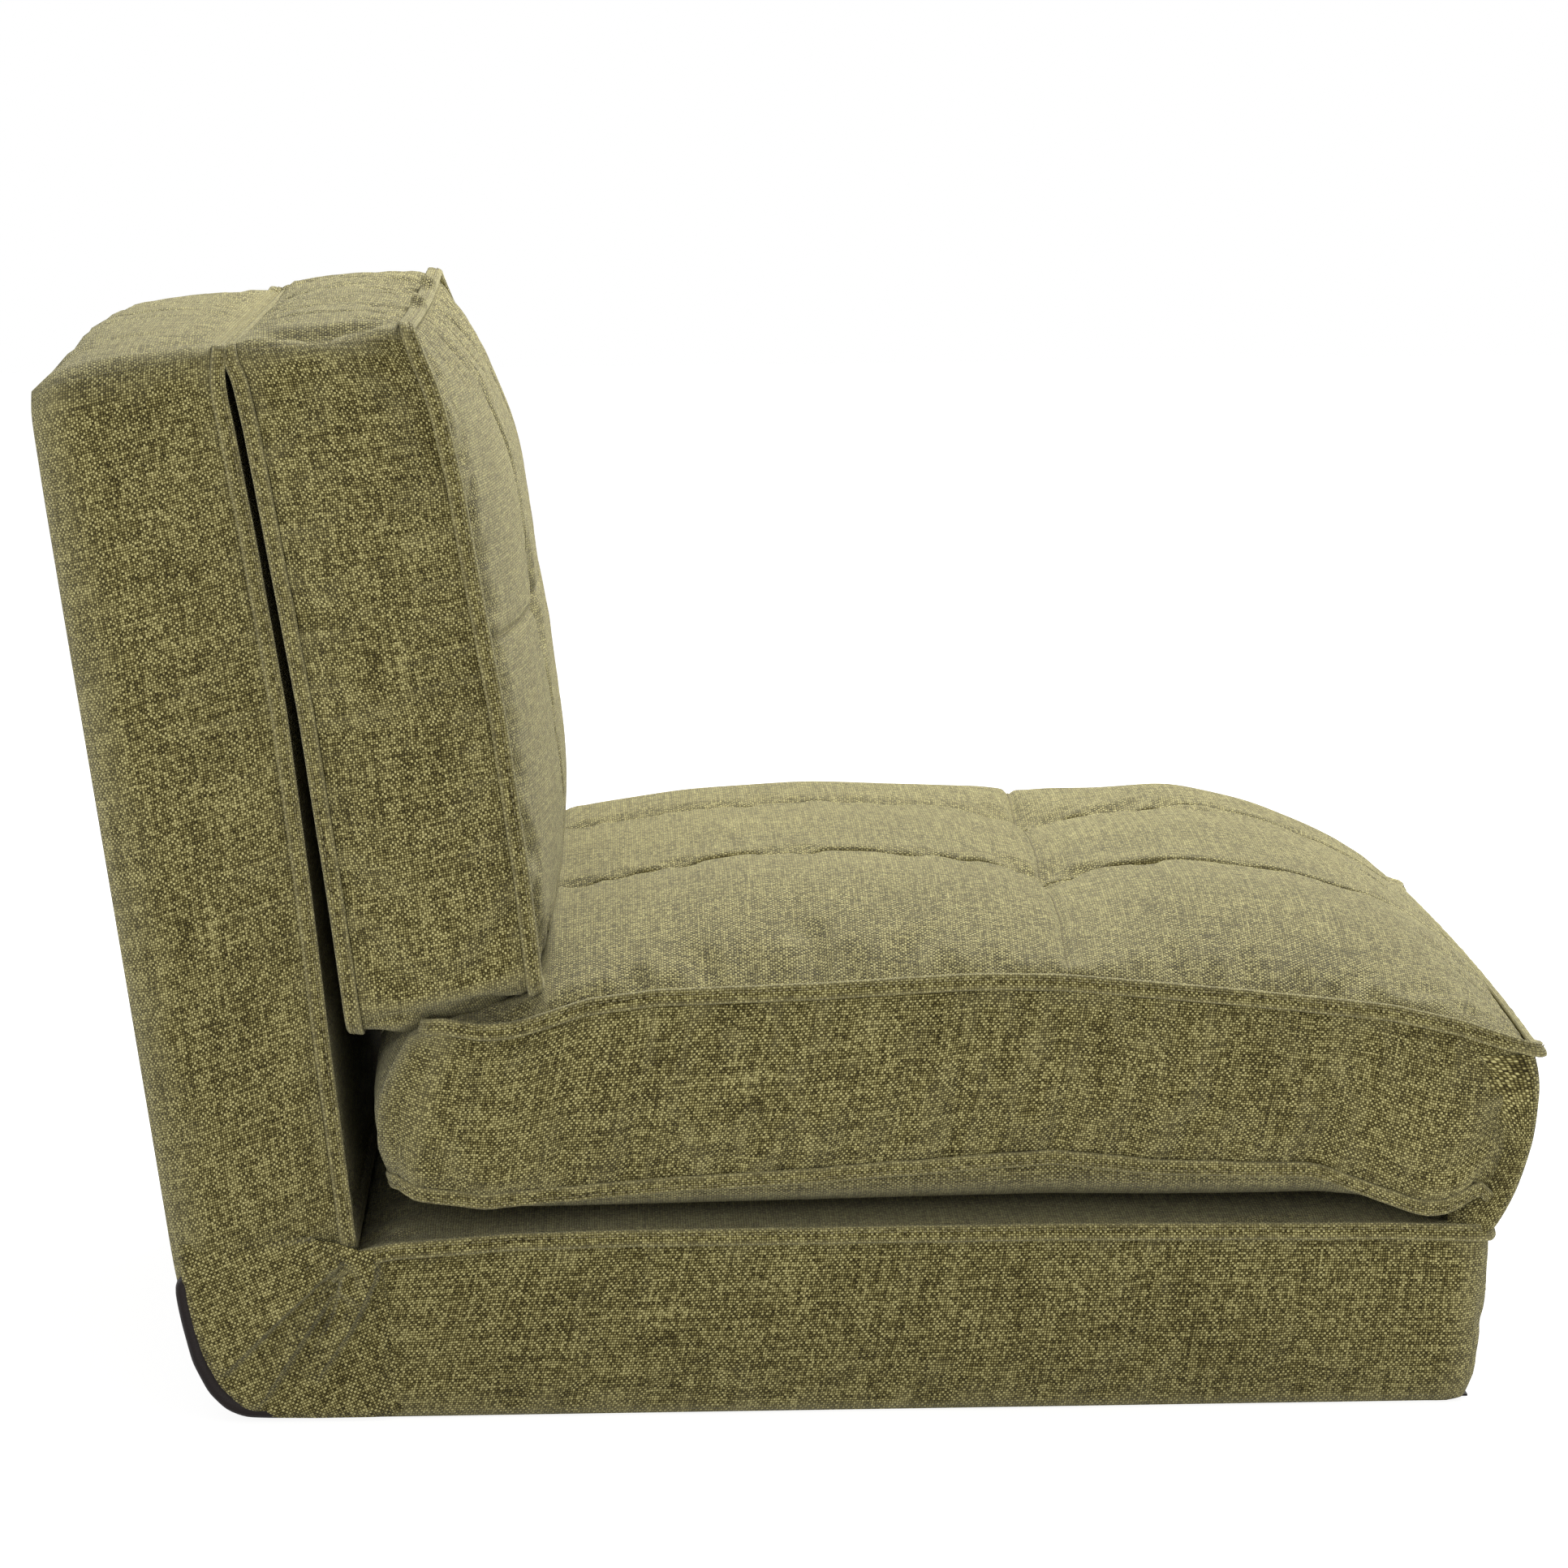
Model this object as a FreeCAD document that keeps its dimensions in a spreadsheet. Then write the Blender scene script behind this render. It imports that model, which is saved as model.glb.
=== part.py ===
import FreeCAD, Part

import math
import os

# A fabric chair bed of four hinged cushions. A floor cushion and a leaning back are joined at the
# rear lower corner, a tufted seat cushion lies folded back on the floor cushion, and a tufted head
# cushion hangs folded down in front of the back. Unfolded, the four lie in one line as a bed.
# Millimetres. +X is forward, +Y is across and +Z is up. The origin is on the floor.

Vector = FreeCAD.Vector
os.makedirs("parts", exist_ok=True)
doc = FreeCAD.newDocument("chair_bed")
sheet = doc.addObject("Spreadsheet::Sheet", "sizes")

# Driving dimensions. One row of the sheet each: a plain number, its alias and what it means.
DIMENSIONS = [
    ("half_width", 319.0, "from the middle to the seam lines at the sides"),
    ("side_bulge", 6.0, "how far the padded side swells between its two seam lines"),
    ("end_round", 9.0, "how far the last stretch of a cushion draws in at its end"),
    ("welt_out", 5.0, "how far a folded seam flange stands out"),
    ("welt_wide", 7.0, "width of a folded seam flange"),
    ("welt_clear", 1.8, "how far outside the side seam line a flange begins, clear of the side's swell"),
    ("hang", 0.3, "gap left between soft faces that lie together"),
    ("lean_deg", 9.0, "backward lean of the back, from upright"),
    ("corner_x", -298.0, "where the back's rear plane meets the floor"),
    ("pivot_in", 53.0, "pivot's distance from the floor and from the back's rear plane"),
    ("wrap_thick", 1.0, "leather patch round the rear lower corner"),
    ("recess_gap", 1.0, "running gap between the corner's round and the back's hollow end"),
    ("underside_thick", 1.0, "leather sheet under the floor cushion"),
    ("base_front_x", 352.0, "front end of the floor cushion"),
    ("base_seam_z", 88.0, "top seam line of the floor cushion"),
    ("base_crown", 4.0, "crown of the floor cushion above its seam line"),
    ("back_long", 545.0, "top end of the back, along its lean from the floor corner"),
    ("back_seam_in", 6.0, "rear seam line of the back, in from its rear plane"),
    ("back_seam_out", 88.0, "front seam line of the back, from its rear plane"),
    ("back_crown", 6.5, "crown of the back's front face"),
    ("head_low", 184.0, "bottom end of the head cushion, along the back"),
    ("head_high", 543.0, "top end of the head cushion, along the back"),
    ("head_rear_seam", 104.0, "rear seam line of the head cushion, from the back's rear plane"),
    ("head_rear_crown", 8.6, "crown of the head cushion's rear face"),
    ("head_front_seam", 195.0, "front seam line at the head cushion's two ends"),
    ("head_front_swell", 6.0, "how far the front seam line bows out in the middle"),
    ("head_crown", 28.0, "crown of each tufted channel of the head cushion"),
    ("head_tuft", 7.0, "depth of the head cushion's sewn seams below its crown"),
    ("head_cross", 366.0, "cross seam of the head cushion, along the back"),
    ("seat_rear_x", -205.0, "rear end of the seat cushion before its swing is trimmed"),
    ("seat_front_x", 375.0, "front end of the seat cushion"),
    ("seat_bottom_rear", 119.0, "bottom seam line of the seat cushion at its rear"),
    ("seat_bottom_front", 106.0, "bottom seam line of the seat cushion at its front"),
    ("seat_seam_rear", 200.0, "top seam line of the seat cushion at its rear"),
    ("seat_seam_high", 221.0, "top seam line of the seat cushion at its highest"),
    ("seat_seam_front", 184.0, "top seam line of the seat cushion at its front"),
    ("seat_cross_x", 141.0, "cross seam of the seat cushion"),
    ("seat_crown", 43.0, "crown of each tufted channel of the seat cushion"),
    ("seat_tuft", 10.0, "depth of the seat cushion's sewn seams below its crown"),
    ("swing_radius", 518.0, "rear end of the seat cushion, from the axis that it folds about"),
    ("swing_gap", 3.0, "room left round that swing"),
    ("gusset_room", 4.0, "room for the folded front gusset"),
    ("gusset_thick", 1.5, "front gusset and top crease cloth"),
    ("gusset_tall", 18.0, "front gusset, folded"),
    ("floor_gap", 1.0, "how high the unfolded seat crown hangs over the floor"),
    ("head_turn_gap", 3.0, "how far the fold axis of the head stands above its top crown"),
    ("head_foam_rise", 70.0, "foam core's lower end, up from the bottom end of the head cushion"),
    ("foam_in", 12.0, "padded cover's thickness over a foam core"),
    ("foam_side_in", 26.0, "padded cover's thickness at the sides and ends"),
    ("tube_radius", 9.5, "steel frame tube"),
    ("tube_wall", 1.2, "wall of the frame tube"),
    ("tube_bend", 45.0, "centre line radius of the frame's corners"),
    ("tube_ease", 0.3, "gap between a frame tube and its channel in the foam"),
    ("base_frame_in", 52.0, "front run of the base frame, in from the floor cushion's front end"),
    ("back_frame_in", 45.0, "top run of the back frame, in from the back's top end"),
    ("hinge_in", 69.0, "inner face of the ratchet base plate, in from the side seam line"),
    ("plate_thick", 3.0, "ratchet plates"),
    ("plate_gap", 0.2, "gap between the two ratchet plates of one hinge"),
    ("plate_radius", 24.0, "round end of a ratchet plate"),
    ("arm_half", 7.0, "half the width of a ratchet plate's arm"),
    ("arm_long", 110.0, "ratchet plate's arm, from the pivot"),
    ("tooth_step_deg", 9.0, "angle between two teeth of the ratchet"),
    ("tooth_radius", 1.6, "radius of a tooth gap"),
    ("tooth_count", 10.0, "tooth gaps round a ratchet plate"),
    ("rivet_radius", 4.0, "pivot rivet"),
    ("rivet_ease", 0.05, "running gap round the pivot rivet"),
    ("rivet_head", 7.0, "radius of the rivet's heads"),
    ("rivet_head_thick", 1.5, "thickness of the rivet's heads"),
    ("slot_gap", 0.5, "room beside the hinge in its slot in the foam"),
    ("over", 20.0, "overrun of a cutting shape"),
]

# Shares of a length, which have no size of their own.
puff_shares = (0, 0.06, 0.16, 0.3, 0.5, 0.7, 0.84, 0.94, 1)
puff_power = 0.7
bar_shares = (0.3, 0.65)
flat_share = 0.1
corner_share = 0.7
back_end_share = 0.4
head_end_share = 0.5
head_seam_share = 0.8
seat_end_share = 0.45
seat_seam_share = 0.82

for row, (alias, number, meaning) in enumerate(DIMENSIONS, start=1):
    sheet.set("A%d" % row, meaning)
    sheet.set("B%d" % row, str(number))
    sheet.setAlias("B%d" % row, alias)
doc.recompute()


def size(alias):
    """One driving dimension, read from the sheet."""
    return float(getattr(sheet, alias))


# Places that follow from the driving dimensions.
lean = math.radians(size("lean_deg"))
pivot_in = size("pivot_in")
along_back = Vector(-math.sin(lean), 0, math.cos(lean))
out_of_back = Vector(math.cos(lean), 0, math.sin(lean))
corner = Vector(size("corner_x"), 0, 0)
pivot_up = pivot_in * (1 - math.sin(lean)) / math.cos(lean)
pivot = corner + along_back * pivot_up + out_of_back * pivot_in
recess_radius = pivot_in + size("recess_gap")
WRAP_RADIUS = "sizes.pivot_in - sizes.wrap_thick"
NOSE_RADIUS = WRAP_RADIUS + " - sizes.hang"
RECESS_RADIUS = "sizes.pivot_in + sizes.recess_gap"
FLOOR_WIDE = "2 * (sizes.half_width + sizes.over)"
FOAM_WIDE = "2 * (sizes.half_width - sizes.foam_side_in)"
half_width = size("half_width")
welt_out = size("welt_out")
base_top = size("base_seam_z") + size("base_crown")
seat_low = base_top + size("hang")
seat_top = size("seat_seam_high") + size("seat_crown")
seat_axis = Vector(
    (size("seat_front_x") + size("base_front_x")) / 2 + welt_out + size("gusset_room") / 2,
    0,
    (seat_top + size("floor_gap")) / 2,
)
head_front = size("head_front_seam") + size("head_front_swell") + size("head_crown")
head_axis_out = head_front / 2
head_axis_up = size("head_high") + size("head_turn_gap") + size("end_round")
head_axis = corner + along_back * head_axis_up + out_of_back * head_axis_out
hinge_y = half_width - size("hinge_in")
plate_thick = size("plate_thick")
back_plate_y = hinge_y + plate_thick + size("plate_gap")
hinge_outer_y = back_plate_y + plate_thick
slot_low_y = hinge_y - size("rivet_head_thick") - size("slot_gap")
slot_high_y = hinge_outer_y + size("rivet_head_thick") + size("slot_gap")

# A cushion's own frame has its length along X and its thickness along Z. On the back and the head,
# X runs up the lean and Z runs out of the back's front face.
LEVEL = FreeCAD.Placement()
LEANING = FreeCAD.Placement(corner, FreeCAD.Rotation(along_back, Vector(0, -1, 0), out_of_back, "XZY"))


def shaped(name, shape, placement=None):
    """A feature whose shape is made here from the sheet's values."""
    feature = doc.addObject("Part::Feature", name)
    feature.Shape = shape
    if placement:
        feature.Placement = placement.multiply(feature.Placement)
    return feature


def cut(name, base, tool):
    result = doc.addObject("Part::Cut", name)
    result.Base = base
    result.Tool = tool
    return result


def common(name, base, tool):
    result = doc.addObject("Part::Common", name)
    result.Base = base
    result.Tool = tool
    return result


def fused(name, pieces):
    if len(pieces) == 1:
        return pieces[0]
    result = doc.addObject("Part::MultiFuse", name)
    result.Shapes = pieces
    return result


def bind(thing, **expressions):
    """Ties properties of an object to cells of the sheet."""
    for prop, expression in expressions.items():
        if expression:
            thing.setExpression(prop, expression)


def box(name, low, high, placement=LEVEL, long=None, wide=None, tall=None):
    """A box between two corners of a cushion's own frame, with its sizes tied to the sheet."""
    block = doc.addObject("Part::Box", name)
    block.Length = high[0] - low[0]
    block.Width = high[1] - low[1]
    block.Height = high[2] - low[2]
    bind(block, Length=long, Width=wide, Height=tall)
    block.Placement = placement.multiply(FreeCAD.Placement(Vector(*low), FreeCAD.Rotation()))
    return block


def across(name, centre, radius, low_y, high_y, tall):
    """A cylinder that lies across the chair, with its radius and its height tied to the sheet."""
    roll = doc.addObject("Part::Cylinder", name)
    bind(roll, Radius=radius, Height=tall)
    quarter = math.degrees(math.pi / 2)
    roll.Placement = FreeCAD.Placement(
        Vector(centre.x, low_y, centre.z), FreeCAD.Rotation(Vector(1, 0, 0), -quarter)
    )
    return roll


# Cushions. Each is a loft through closed sections across its length. A section has a lower arc, two
# swelling sides and a top of one or three arcs, which meet at the lengthwise seams.


def arc(start, middle, end):
    """A round edge through three points, or a straight one where it would hardly bow."""
    if (middle - (start + end) / 2).Length < size("hang") * flat_share:
        return Part.LineSegment(start, end).toShape()
    return Part.Arc(start, middle, end).toShape()


def section(x, side, low, low_crown, high, crown, tuft, channels):
    """One closed section of a cushion: seam lines at low and high, and its crowns beyond them."""
    middle = (low + high) / 2
    swell = side + size("side_bulge") * (side / half_width)
    edges = [
        arc(Vector(x, -side, low), Vector(x, 0, low - low_crown), Vector(x, side, low)),
        arc(Vector(x, side, low), Vector(x, swell, middle), Vector(x, side, high)),
    ]
    if channels == 1:
        edges.append(arc(Vector(x, side, high), Vector(x, 0, high + crown), Vector(x, -side, high)))
    else:
        seam = side / channels
        seam_high = high + crown - tuft
        outer = Vector(x, (side + seam) / 2, high + crown)
        edges += [
            arc(Vector(x, side, high), outer, Vector(x, seam, seam_high)),
            arc(Vector(x, seam, seam_high), Vector(x, 0, high + crown), Vector(x, -seam, seam_high)),
            arc(Vector(x, -seam, seam_high), Vector(x, -outer.y, outer.z), Vector(x, -side, high)),
        ]
    edges.append(arc(Vector(x, -side, high), Vector(x, -swell, middle), Vector(x, -side, low)))
    return Part.Wire(edges)


def cushion(name, stations, channels, placement):
    """A padded cushion lofted through its stations, with no foam hollow yet."""
    wires = [section(*station, channels) for station in stations]
    return shaped(name, Part.makeLoft(wires, True, True), placement)


def drawn_in(x, low, low_crown, high, crown, tuft):
    """A cushion's end section, which is smaller by the rounding of the end."""
    inset = size("end_round")
    return (
        x, half_width - inset, low + inset, low_crown / 2, high - inset, crown / 2, tuft / 2
    )


def between(share, low, high):
    return low + (high - low) * share


def puffed(low, high, station, low_puff, high_puff):
    """Stations over one stretch between two seams, with the stuffing's swell between its ends."""
    made = []
    for share in puff_shares:
        end_puff = between(share, low_puff, high_puff)
        puff = end_puff + (1 - end_puff) * math.sin(math.pi * share) ** puff_power
        made.append(station(between(share, low, high), puff))
    return made


end_round = size("end_round")
over = size("over")

# Floor cushion: a plain box with a slight crown. Its rear end is cut round, about the pivot.
base_low = size("underside_thick")
base_rear = pivot.x - pivot_in - size("over")
base_front = size("base_front_x")
base_seam = size("base_seam_z")
base_crown = size("base_crown")


def base_station(x, inset):
    return (x, half_width - inset, base_low + inset / 2, 0, base_seam - inset / 2, base_crown, 0)


base_form = cushion(
    "base_form",
    [
        base_station(base_rear, 0),
        base_station(base_front - end_round, 0),
        base_station(base_front - end_round / 4, end_round / 4),
        base_station(base_front, end_round),
    ],
    1,
    LEVEL,
)
floor_half = half_width + size("over")
nose = across("nose_roll", pivot, NOSE_RADIUS, -floor_half, floor_half, FLOOR_WIDE)
nose_box = box(
    "nose_box", (pivot.x, -floor_half, 0), (base_front + over, floor_half, base_top + over),
    wide=FLOOR_WIDE, tall="sizes.base_seam_z + sizes.base_crown + sizes.over",
)
nose_envelope = fused("nose_envelope", [nose, nose_box])
base_block = common("base_block", base_form, nose_envelope)

# Back: a plain slab whose lower end is hollowed about the pivot.
back_low = pivot_up
back_high = size("back_long")
back_rear = size("back_seam_in")
back_seam = size("back_seam_out")
back_crown = size("back_crown")


def back_station(u, puff):
    return (u, half_width, back_rear, back_rear, back_seam, back_crown * puff, 0)


back_form = cushion(
    "back_form",
    puffed(back_low, back_high - end_round, back_station, back_end_share, back_end_share)
    + [drawn_in(back_high, back_rear, back_rear, back_seam, back_crown * back_end_share, 0)],
    1,
    LEANING,
)
recess = across("recess_roll", pivot, RECESS_RADIUS, -floor_half, floor_half, FLOOR_WIDE)
back_block = cut("back_block", back_form, recess)

# Head cushion: three tufted channels and one cross seam. Its lower front is cut by the seat's swing.
head_low = size("head_low")
head_high = size("head_high")
head_rear = size("head_rear_seam")
head_rear_crown = size("head_rear_crown")
head_seam = size("head_front_seam")
head_cross = size("head_cross")
head_crown = size("head_crown")
head_tuft = size("head_tuft")


def head_seam_at(u):
    """The front seam line bows out as a parabola between the two ends."""
    share = (u - head_low) / (head_high - head_low)
    return head_seam + size("head_front_swell") * (1 - (2 * share - 1) ** 2)


def head_station(u, puff):
    return (
        u, half_width, head_rear, head_rear_crown * puff, head_seam_at(u), head_crown * puff, head_tuft * puff
    )


def head_end(u):
    puff = head_end_share
    return drawn_in(u, head_rear, head_rear_crown * puff, head_seam, head_crown * puff, head_tuft * puff)


head_form = cushion(
    "head_form",
    [head_end(head_low)]
    + puffed(head_low + end_round, head_cross, head_station, head_end_share, head_seam_share)
    + puffed(head_cross, head_high - end_round, head_station, head_seam_share, head_end_share)[1:]
    + [head_end(head_high)],
    3,
    LEANING,
)
seat_end_radius = size("swing_radius") - welt_out
swing_room = across(
    "swing_room", seat_axis, "sizes.swing_radius + sizes.swing_gap", -floor_half, floor_half, FLOOR_WIDE
)
head_block = cut("head_block", head_form, swing_room)

# Seat cushion: three tufted channels and one cross seam, higher in the middle than at its ends. Its
# rear end is rounded about the axis that it folds about, and pressed down there by the head cushion,
# as far as the head's own swing reaches.
seat_rear = size("seat_rear_x")
seat_front = size("seat_front_x")
seat_cross = size("seat_cross_x")
seat_crown = size("seat_crown")
seat_tuft = size("seat_tuft")


def seat_bottom_at(x):
    share = (x - seat_rear) / (seat_front - seat_rear)
    return between(share, size("seat_bottom_rear"), size("seat_bottom_front"))


def seat_seam_at(x):
    """The top seam line rises to the cross seam and falls again, as a parabola on each side."""
    if x < seat_cross:
        share = (seat_cross - x) / (seat_cross - seat_rear)
        return between(share ** 2, size("seat_seam_high"), size("seat_seam_rear"))
    share = (x - seat_cross) / (seat_front - seat_cross)
    return between(share ** 2, size("seat_seam_high"), size("seat_seam_front"))


def seat_station(x, puff):
    low = seat_bottom_at(x)
    return (
        x, half_width, low, (low - seat_low) * puff, seat_seam_at(x), seat_crown * puff, seat_tuft * puff
    )


def seat_end(x):
    low = seat_bottom_at(x)
    puff = seat_end_share
    return drawn_in(x, low, (low - seat_low) * puff, seat_seam_at(x), seat_crown * puff, seat_tuft * puff)


seat_form = cushion(
    "seat_form",
    [seat_end(seat_rear)]
    + puffed(seat_rear + end_round, seat_cross, seat_station, seat_end_share, seat_seam_share)
    + puffed(seat_cross, seat_front - end_round, seat_station, seat_seam_share, seat_end_share)[1:]
    + [seat_end(seat_front)],
    3,
    LEVEL,
)
swing = across(
    "swing_roll", seat_axis, "sizes.swing_radius - sizes.welt_out", -floor_half, floor_half, FLOOR_WIDE
)
seat_swung = common("seat_swung", seat_form, swing)
HEAD_SWEEP_UP = "sizes.head_high + sizes.head_turn_gap + sizes.end_round - sizes.head_low + sizes.welt_out"
HEAD_FRONT = "(sizes.head_front_seam + sizes.head_front_swell + sizes.head_crown)"
HEAD_SWEEP_OUT = HEAD_FRONT + " / 2 - sizes.head_rear_seam + sizes.welt_wide / 2"
head_room = across(
    "head_room", head_axis, "hypot(%s; %s) + sizes.swing_gap" % (HEAD_SWEEP_UP, HEAD_SWEEP_OUT),
    -floor_half, floor_half, FLOOR_WIDE,
)
seat_block = cut("seat_block", seat_swung, head_room)

# Seam flanges. Each is a bent band with the flange's width, left as a ring that stands just outside
# its cushion's seam line, or as a U where the seam ends at the rear lower corner.


def flange(name, line, low_x, high_x, placement, open_low=False):
    """A ring or a U of flange, from a bent slab about a seam line with its middle left open."""
    half = size("welt_wide") / 2
    reach = half_width + welt_out
    inner = half_width + size("welt_clear")
    welt_corner = welt_out * corner_share
    start, middle, end = line
    bow = middle[1] - (start[1] + end[1]) / 2

    def edge(rise):
        points = [Vector(x, 0, z + rise) for x, z in (start, middle, end)]
        if abs(bow) < size("hang"):
            return points, Part.LineSegment(points[0], points[2]).toShape()
        return points, Part.Arc(*points).toShape()

    lower, lower_edge = edge(-half)
    upper, upper_edge = edge(half)
    outline = Part.Wire([
        lower_edge,
        Part.LineSegment(lower[2], upper[2]).toShape(),
        upper_edge,
        Part.LineSegment(upper[0], lower[0]).toShape(),
    ])
    slab = Part.Face(outline).extrude(Vector(0, 2 * reach, 0))
    slab.translate(Vector(0, -reach, 0))
    floor_z = slab.BoundBox.ZMin - over
    tall = slab.BoundBox.ZLength + 2 * over
    hang = size("hang")
    open_x = low_x - 2 * over if open_low else low_x - hang
    opening = Part.makeBox(high_x + hang - open_x, 2 * inner, tall, Vector(open_x, -inner, floor_z))
    outer_x = low_x - over if open_low else low_x - welt_out
    outer = Part.makeBox(high_x + welt_out - outer_x, 2 * reach, tall, Vector(outer_x, -reach, floor_z))
    upright = math.cos(math.pi / 4)
    outer = outer.makeChamfer(welt_corner, [e for e in outer.Edges if abs(e.tangentAt(0).z) > upright])
    return shaped(name, slab.common(outer).cut(opening), placement)


def straight(low_x, high_x, low_z, high_z=None):
    """Three points along a straight seam line, which may slope."""
    if high_z is None:
        high_z = low_z
    return [(low_x, low_z), ((low_x + high_x) / 2, (low_z + high_z) / 2), (high_x, high_z)]


base_top_welt = flange(
    "base_top_welt", straight(pivot.x, base_front + welt_out, base_seam), pivot.x, base_front, LEVEL, True
)
back_welt_low = pivot_up + recess_radius
back_front_welt = flange(
    "back_front_welt", straight(back_welt_low, back_high + welt_out, back_seam),
    back_welt_low, back_high, LEANING, True,
)
head_middle = (head_low + head_high) / 2
head_front_line = [
    (head_low, head_seam), (head_middle, head_seam_at(head_middle)), (head_high + welt_out, head_seam),
]
head_front_strip = flange("head_front_strip", head_front_line, head_low, head_high, LEANING, True)
head_front_welt = cut("head_front_welt", head_front_strip, swing_room)
head_rear_welt = flange(
    "head_rear_welt", straight(head_low - welt_out, head_high + welt_out, head_rear),
    head_low, head_high, LEANING,
)


def seat_rear_at(z):
    """The rearmost place of the seat cushion's rounded rear end within a flange at a height."""
    rise = max(abs(z - seat_axis.z) - size("welt_wide") / 2, 0)
    return seat_axis.x - math.sqrt(seat_end_radius ** 2 - rise ** 2)


seat_top_rear = seat_rear_at(seat_seam_at(seat_axis.x - seat_end_radius))
seat_middle = (seat_top_rear + seat_front) / 2
seat_top_line = [
    (seat_top_rear - welt_out, seat_seam_at(seat_top_rear)), (seat_middle, seat_seam_at(seat_middle)),
    (seat_front + welt_out, seat_seam_at(seat_front)),
]
seat_top_welt = flange("seat_top_welt", seat_top_line, seat_top_rear, seat_front, LEVEL)
seat_low_rear = seat_rear_at(size("seat_bottom_rear"))
seat_bottom_welt = flange(
    "seat_bottom_welt",
    straight(
        seat_low_rear - welt_out, seat_front + welt_out,
        seat_bottom_at(seat_low_rear), seat_bottom_at(seat_front),
    ),
    seat_low_rear, seat_front, LEVEL,
)

# Foam cores. Each block fills a hollow of its own size inside the padded cover.
foam_in = size("foam_in")
foam_side = half_width - size("foam_side_in")
foam_end = size("foam_side_in")
BASE_FOAM_TALL = "sizes.base_seam_z - sizes.underside_thick - 2 * sizes.foam_in"
BACK_FOAM_TALL = "sizes.back_seam_out - sizes.back_seam_in - 2 * sizes.foam_in"
base_foam_box = box(
    "base_foam_box", (pivot.x, -foam_side, base_low + foam_in),
    (base_front - foam_end, foam_side, base_seam - foam_in), wide=FOAM_WIDE, tall=BASE_FOAM_TALL,
)
back_foam_box = box(
    "back_foam_box", (pivot_up + recess_radius + foam_in, -foam_side, back_rear + foam_in),
    (back_high - foam_end, foam_side, back_seam - foam_in), LEANING, wide=FOAM_WIDE, tall=BACK_FOAM_TALL,
)
head_foam_box = box(
    "head_foam_box", (head_low + size("head_foam_rise"), -foam_side, head_rear + foam_in),
    (head_high - foam_end, foam_side, head_seam - foam_in), LEANING,
    long="sizes.head_high - sizes.foam_side_in - sizes.head_low - sizes.head_foam_rise",
    wide=FOAM_WIDE, tall="sizes.head_front_seam - sizes.head_rear_seam - 2 * sizes.foam_in",
)
seat_foam_low = size("seat_bottom_rear") + foam_in
seat_foam_rear = seat_axis.x - seat_end_radius + foam_end
seat_foam_box = box(
    "seat_foam_box", (seat_foam_rear, -foam_side, seat_foam_low),
    (seat_front - 2 * foam_end, foam_side, size("seat_seam_front") - foam_in),
    wide=FOAM_WIDE, tall="sizes.seat_seam_front - sizes.seat_bottom_rear - 2 * sizes.foam_in",
)

# Steel frames. Each is a U of round tube that ends at the ratchet plates, with two straight bars.


def tube_path(start, far, half):
    """The centre line of a U: out along X, across on Y and back, with round corners."""
    bend = size("tube_bend")
    knee = bend * (1 - 1 / math.sqrt(2))
    points = [
        Vector(start, -half, 0), Vector(far - bend, -half, 0),
        Vector(far - knee, knee - half, 0), Vector(far, bend - half, 0),
        Vector(far, half - bend, 0), Vector(far - knee, half - knee, 0),
        Vector(far - bend, half, 0), Vector(start, half, 0),
    ]
    return Part.Wire([
        Part.LineSegment(points[0], points[1]).toShape(),
        Part.Arc(points[1], points[2], points[3]).toShape(),
        Part.LineSegment(points[3], points[4]).toShape(),
        Part.Arc(points[4], points[5], points[6]).toShape(),
        Part.LineSegment(points[6], points[7]).toShape(),
    ])


def u_tube(name, start, far, half, radius, placement):
    path = tube_path(start, far, half)
    ring = Part.Wire([Part.makeCircle(radius, Vector(start, -half, 0), Vector(1, 0, 0))])
    return shaped(name, path.makePipeShell([ring], True, False), placement)


def bars(name, places, half, radius, placement):
    """Straight tubes across the U, one at each place along it."""
    made = [
        Part.makeCylinder(radius, 2 * half, Vector(place, -half, 0), Vector(0, 1, 0)) for place in places
    ]
    return shaped(name, Part.makeCompound(made), placement)


def frame_set(prefix, start, far, half, placement):
    """(tube frame, cross bars, the channel that both need in the foam)."""
    radius = size("tube_radius")
    wall = size("tube_wall")
    ease = size("tube_ease")
    places = [between(share, start, far) for share in bar_shares]
    bar_half = half - radius
    loop = cut(
        prefix + "_frame",
        u_tube(prefix + "_frame_out", start, far, half, radius, placement),
        u_tube(prefix + "_frame_bore", start, far, half, radius - wall, placement),
    )
    rungs_out = bars(prefix + "_bars_out", places, bar_half, radius - wall, placement)
    rungs_in = bars(prefix + "_bars_bore", places, bar_half, radius - 2 * wall, placement)
    rungs = cut(prefix + "_cross_bars", rungs_out, rungs_in)
    room = fused(prefix + "_channel", [
        u_tube(prefix + "_channel_loop", start, far, half, radius + ease, placement),
        bars(prefix + "_channel_bars", places, half, radius + ease, placement),
    ])
    return loop, rungs, room


tube_radius = size("tube_radius")
base_frame_start = pivot.x + size("plate_radius") + foam_in
base_frame_half = hinge_y - tube_radius
base_level = FreeCAD.Placement(Vector(0, 0, pivot.z - size("arm_half")), FreeCAD.Rotation())
base_frame, base_cross_bars, base_channel = frame_set(
    "base", base_frame_start, base_front - size("base_frame_in"), base_frame_half, base_level
)
back_frame_half = hinge_outer_y + tube_radius
back_frame_start = pivot_up + recess_radius + foam_in + size("tube_bend") / 2
back_level = LEANING.multiply(FreeCAD.Placement(Vector(0, 0, pivot_in), FreeCAD.Rotation()))
back_frame, back_cross_bars, back_channel = frame_set(
    "back", back_frame_start, back_high - size("back_frame_in"), back_frame_half, back_level
)

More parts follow.
